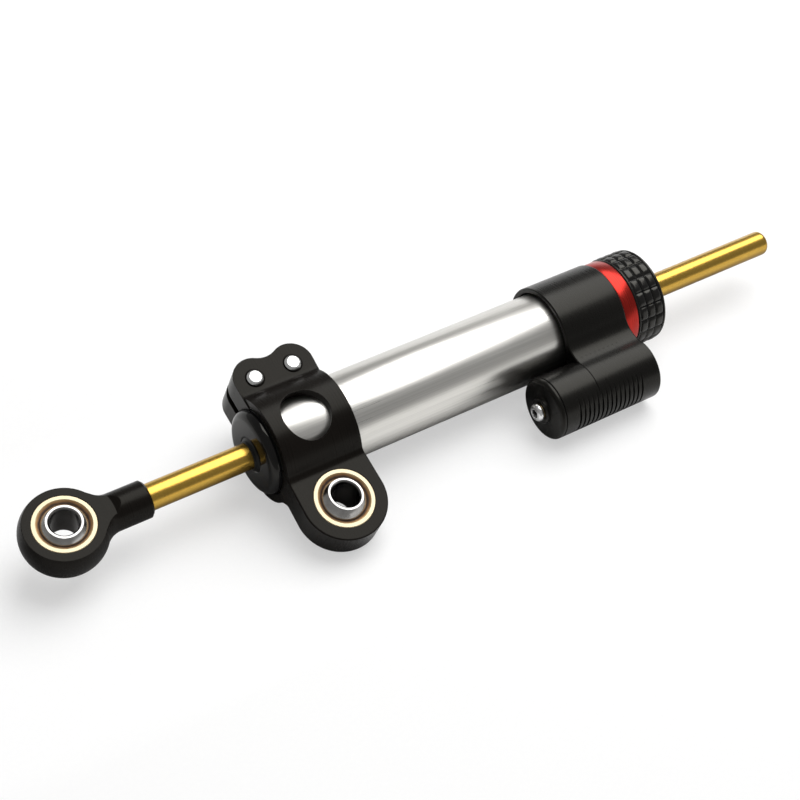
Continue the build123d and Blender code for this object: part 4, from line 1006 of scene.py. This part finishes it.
def area_lamp(name, direction, distance, size, power):
    """Soft lamp that looks at the object from a direction."""
    lamp = bpy.data.lights.new(name, "AREA")
    lamp.shape = "RECTANGLE"
    lamp.size, lamp.size_y = size
    lamp.energy = power
    holder = bpy.data.objects.new(name, lamp)
    bpy.context.scene.collection.objects.link(holder)
    towards = Vector(direction).normalized()
    holder.location = LAMP_TARGET + towards * distance
    holder.rotation_euler = towards.to_track_quat("Z", "Y").to_euler()


def build_world():
    """Pale surroundings: white to the camera and greyer for the light that falls on the object."""
    world = bpy.data.worlds.new("studio")
    bpy.context.scene.world = world
    world.use_nodes = True
    tree = world.node_tree
    surroundings = tree.nodes["Background"]
    place = tree.nodes.new("ShaderNodeTexCoord")
    split = tree.nodes.new("ShaderNodeSeparateXYZ")
    tree.links.new(place.outputs["Generated"], split.inputs[0])
    height = tree.nodes.new("ShaderNodeMapRange")
    height.inputs["From Min"].default_value = -0.2
    height.inputs["From Max"].default_value = 1.0
    tree.links.new(split.outputs["Z"], height.inputs["Value"])
    tree.links.new(ramp(tree, height.outputs["Result"], SURROUNDINGS), surroundings.inputs["Color"])
    surroundings.inputs["Strength"].default_value = 1.0
    plain = tree.nodes.new("ShaderNodeBackground")
    plain.inputs["Color"].default_value = (1, 1, 1, 1)
    path = tree.nodes.new("ShaderNodeLightPath")
    mix = tree.nodes.new("ShaderNodeMixShader")
    tree.links.new(path.outputs["Is Camera Ray"], mix.inputs["Fac"])
    tree.links.new(surroundings.outputs[0], mix.inputs[1])
    tree.links.new(plain.outputs[0], mix.inputs[2])
    tree.links.new(mix.outputs[0], tree.nodes["World Output"].inputs["Surface"])


def build_camera(view):
    """Camera at the photograph's angle, from its azimuth, elevation and roll."""
    azimuth, elevation, roll = view.azimuth, view.elevation, view.roll
    level = math.cos(elevation)
    back = Vector((math.sin(azimuth) * level, -math.cos(azimuth) * level, math.sin(elevation)))
    right = Vector((math.cos(azimuth), math.sin(azimuth), 0))
    up = back.cross(right)
    rolled_right = right * math.cos(roll) + up * math.sin(roll)
    rolled_up = up * math.cos(roll) - right * math.sin(roll)
    eye = Vector(view.target) + back * view.distance
    turn = Matrix((rolled_right, rolled_up, back)).transposed().to_4x4()
    camera_data = bpy.data.cameras.new("photo_camera")
    camera_data.sensor_width = SENSOR_WIDTH
    camera_data.lens = view.lens
    camera_data.clip_start = 0.01
    camera = bpy.data.objects.new("photo_camera", camera_data)
    camera.matrix_world = Matrix.Translation(eye) @ turn
    bpy.context.scene.collection.objects.link(camera)
    bpy.context.scene.camera = camera


# Properties that a user would change


def length_setting(name, description, default):
    """Length property whose default is given in millimetres."""
    return bpy.props.FloatProperty(
        name=name, description=description, subtype="DISTANCE", unit="LENGTH", default=default * MM
    )


def colour_setting(name, description, default):
    """Colour property."""
    return bpy.props.FloatVectorProperty(name=name, description=description, subtype="COLOR", size=3, default=default)


def angle_setting(name, description, degrees):
    """Angle property whose default is given in degrees."""
    return bpy.props.FloatProperty(
        name=name, description=description, subtype="ANGLE", unit="ROTATION", default=math.radians(degrees)
    )


class DamperSizes(bpy.types.PropertyGroup):
    small_break: length_setting("Edge Break", "Small break on turned edges", 0.15)
    cap_round: length_setting("Cap Round", "Round of the front cap's edge", 2.6)
    tip_round: length_setting("Tip Round", "Round of the rod's tip", 1.6)
    pad_height: length_setting("Pad Height", "Height of the knob's pads", 0.5)
    pad_sink: length_setting("Pad Sink", "How deep the pads' edges sink", 0.1)
    pad_power: bpy.props.FloatProperty(name="Pad Power", description="How square the pads are", default=4.5)
    pad_rows: bpy.props.IntProperty(name="Pad Rows", description="Rows of pads along the knob", default=3, min=1)
    pad_count: bpy.props.IntProperty(name="Pads Round", description="Pads round the knob in a row", default=20, min=3)


class DamperColours(bpy.types.PropertyGroup):
    black: colour_setting("Black", "Anodised black", (0.0034, 0.0032, 0.003))
    silver: colour_setting("Silver", "Brushed tube", (0.70, 0.685, 0.65))
    gold: colour_setting("Gold", "Coated rod", (0.57, 0.352, 0.066))
    red: colour_setting("Red", "Anodised ring", (0.41, 0.028, 0.021))


class DamperView(bpy.types.PropertyGroup):
    azimuth: angle_setting("Azimuth", "Camera's turn about Z", -45.841)
    elevation: angle_setting("Elevation", "Camera's height angle", 54.111)
    roll: angle_setting("Roll", "Camera's roll", 17.095)
    distance: length_setting("Distance", "Camera to its target", 540.052)
    target: bpy.props.FloatVectorProperty(
        name="Target",
        description="Point in the image's middle",
        subtype="XYZ",
        unit="LENGTH",
        size=3,
        default=(0.110199, 0.0, -0.004503),
    )
    lens: bpy.props.FloatProperty(name="Lens", description="Focal length in mm", unit="CAMERA", default=81.06)


class DAMPER_OT_finishes(bpy.types.Operator):
    """Build every finish and dress the CAD nodes that stay"""

    bl_idname = "damper.finishes"
    bl_label = "Finishes"

    def execute(self, context):
        build_materials(context.scene.damper_colours)
        dress_cad_nodes()
        return {"FINISHED"}


class DAMPER_OT_tube(bpy.types.Operator):
    """Make the tube and the rod that runs through it"""

    bl_idname = "damper.tube"
    bl_label = "Tube and Rod"

    def execute(self, context):
        tube_piece(context.scene.damper_sizes)
        rod_piece(context.scene.damper_sizes)
        return {"FINISHED"}


class DAMPER_OT_gland(bpy.types.Operator):
    """Make the front cap and both wipers"""

    bl_idname = "damper.gland"
    bl_label = "Front Cap and Wipers"

    def execute(self, context):
        gland_piece(context.scene.damper_sizes)
        wiper_piece("front_wiper_lip", "front_wiper", 1)
        wiper_piece("rear_wiper_lip", "rear_wiper", -1)
        return {"FINISHED"}


class DAMPER_OT_adjuster(bpy.types.Operator):
    """Make the red ring and the knurled knob"""

    bl_idname = "damper.adjuster"
    bl_label = "Ring and Knob"

    def execute(self, context):
        ring_piece(context.scene.damper_sizes)
        knob_piece(context.scene.damper_sizes)
        return {"FINISHED"}


class DAMPER_OT_reservoir(bpy.types.Operator):
    """Make the reservoir's cap with its screw and washer"""

    bl_idname = "damper.reservoir"
    bl_label = "Reservoir Cap"

    def execute(self, context):
        cap_piece()
        fill_screw_piece()
        seal_washer_piece()
        return {"FINISHED"}


class DAMPER_OT_joints(bpy.types.Operator):
    """Make the races and balls of both spherical joints"""

    bl_idname = "damper.joints"
    bl_label = "Spherical Joints"

    def execute(self, context):
        straight = Matrix.Identity(4)
        race_piece("rod_end_race_ring", "rod_end_race", "rod_end_bearing", (0, 0, 0), straight)
        # The last number is the share of painted shade in each ball's bore.
        ball_piece("rod_end_ball_core", "rod_end_ball", "rod_end_ball", (0, 0, 0), straight, 0.75)
        race_piece("clamp_race_ring", "clamp_race", "clamp_bearing", lug_place(), CLAMP_TURN)
        ball_piece("clamp_ball_core", "clamp_ball", "clamp_ball", lug_place(), ball_turn(), 1.0)
        return {"FINISHED"}


class DAMPER_OT_bolts(bpy.types.Operator):
    """Make the clamp's bolts and washers"""

    bl_idname = "damper.bolts"
    bl_label = "Clamp Bolts"

    def execute(self, context):
        set_on_bolts("clamp_bolt_pair", "clamp_bolts", clamp_bolt)
        set_on_bolts("washer_pair", "clamp_washers", clamp_washer)
        return {"FINISHED"}


class DAMPER_OT_stage(bpy.types.Operator):
    """Set the floor, the lamps, the surroundings and the camera"""

    bl_idname = "damper.stage"
    bl_label = "Stage"

    def execute(self, context):
        build_floor()
        build_world()
        for lamp in LAMPS:
            area_lamp(*lamp)
        build_camera(context.scene.damper_view)
        context.scene.view_settings.view_transform = "Standard"
        return {"FINISHED"}


STEPS = ("finishes", "tube", "gland", "adjuster", "reservoir", "joints", "bolts", "stage")


class DAMPER_PT_panel(bpy.types.Panel):
    bl_label = "Steering Damper"
    bl_space_type = "VIEW_3D"
    bl_region_type = "UI"
    bl_category = "Damper"

    def draw(self, context):
        for step in STEPS:
            self.layout.operator(f"damper.{step}")
        for group in (context.scene.damper_sizes, context.scene.damper_colours, context.scene.damper_view):
            for name in group.__annotations__:
                self.layout.prop(group, name)


CLASSES = (
    DamperSizes,
    DamperColours,
    DamperView,
    DAMPER_OT_finishes,
    DAMPER_OT_tube,
    DAMPER_OT_gland,
    DAMPER_OT_adjuster,
    DAMPER_OT_reservoir,
    DAMPER_OT_joints,
    DAMPER_OT_bolts,
    DAMPER_OT_stage,
    DAMPER_PT_panel,
)


def register():
    for cls in CLASSES:
        bpy.utils.register_class(cls)
    bpy.types.Scene.damper_sizes = bpy.props.PointerProperty(type=DamperSizes)
    bpy.types.Scene.damper_colours = bpy.props.PointerProperty(type=DamperColours)
    bpy.types.Scene.damper_view = bpy.props.PointerProperty(type=DamperView)


def unregister():
    del bpy.types.Scene.damper_view
    del bpy.types.Scene.damper_colours
    del bpy.types.Scene.damper_sizes
    for cls in reversed(CLASSES):
        bpy.utils.unregister_class(cls)


def main():
    register()
    for step in STEPS:
        getattr(bpy.ops.damper, step)()


if __name__ == "__main__":
    main()
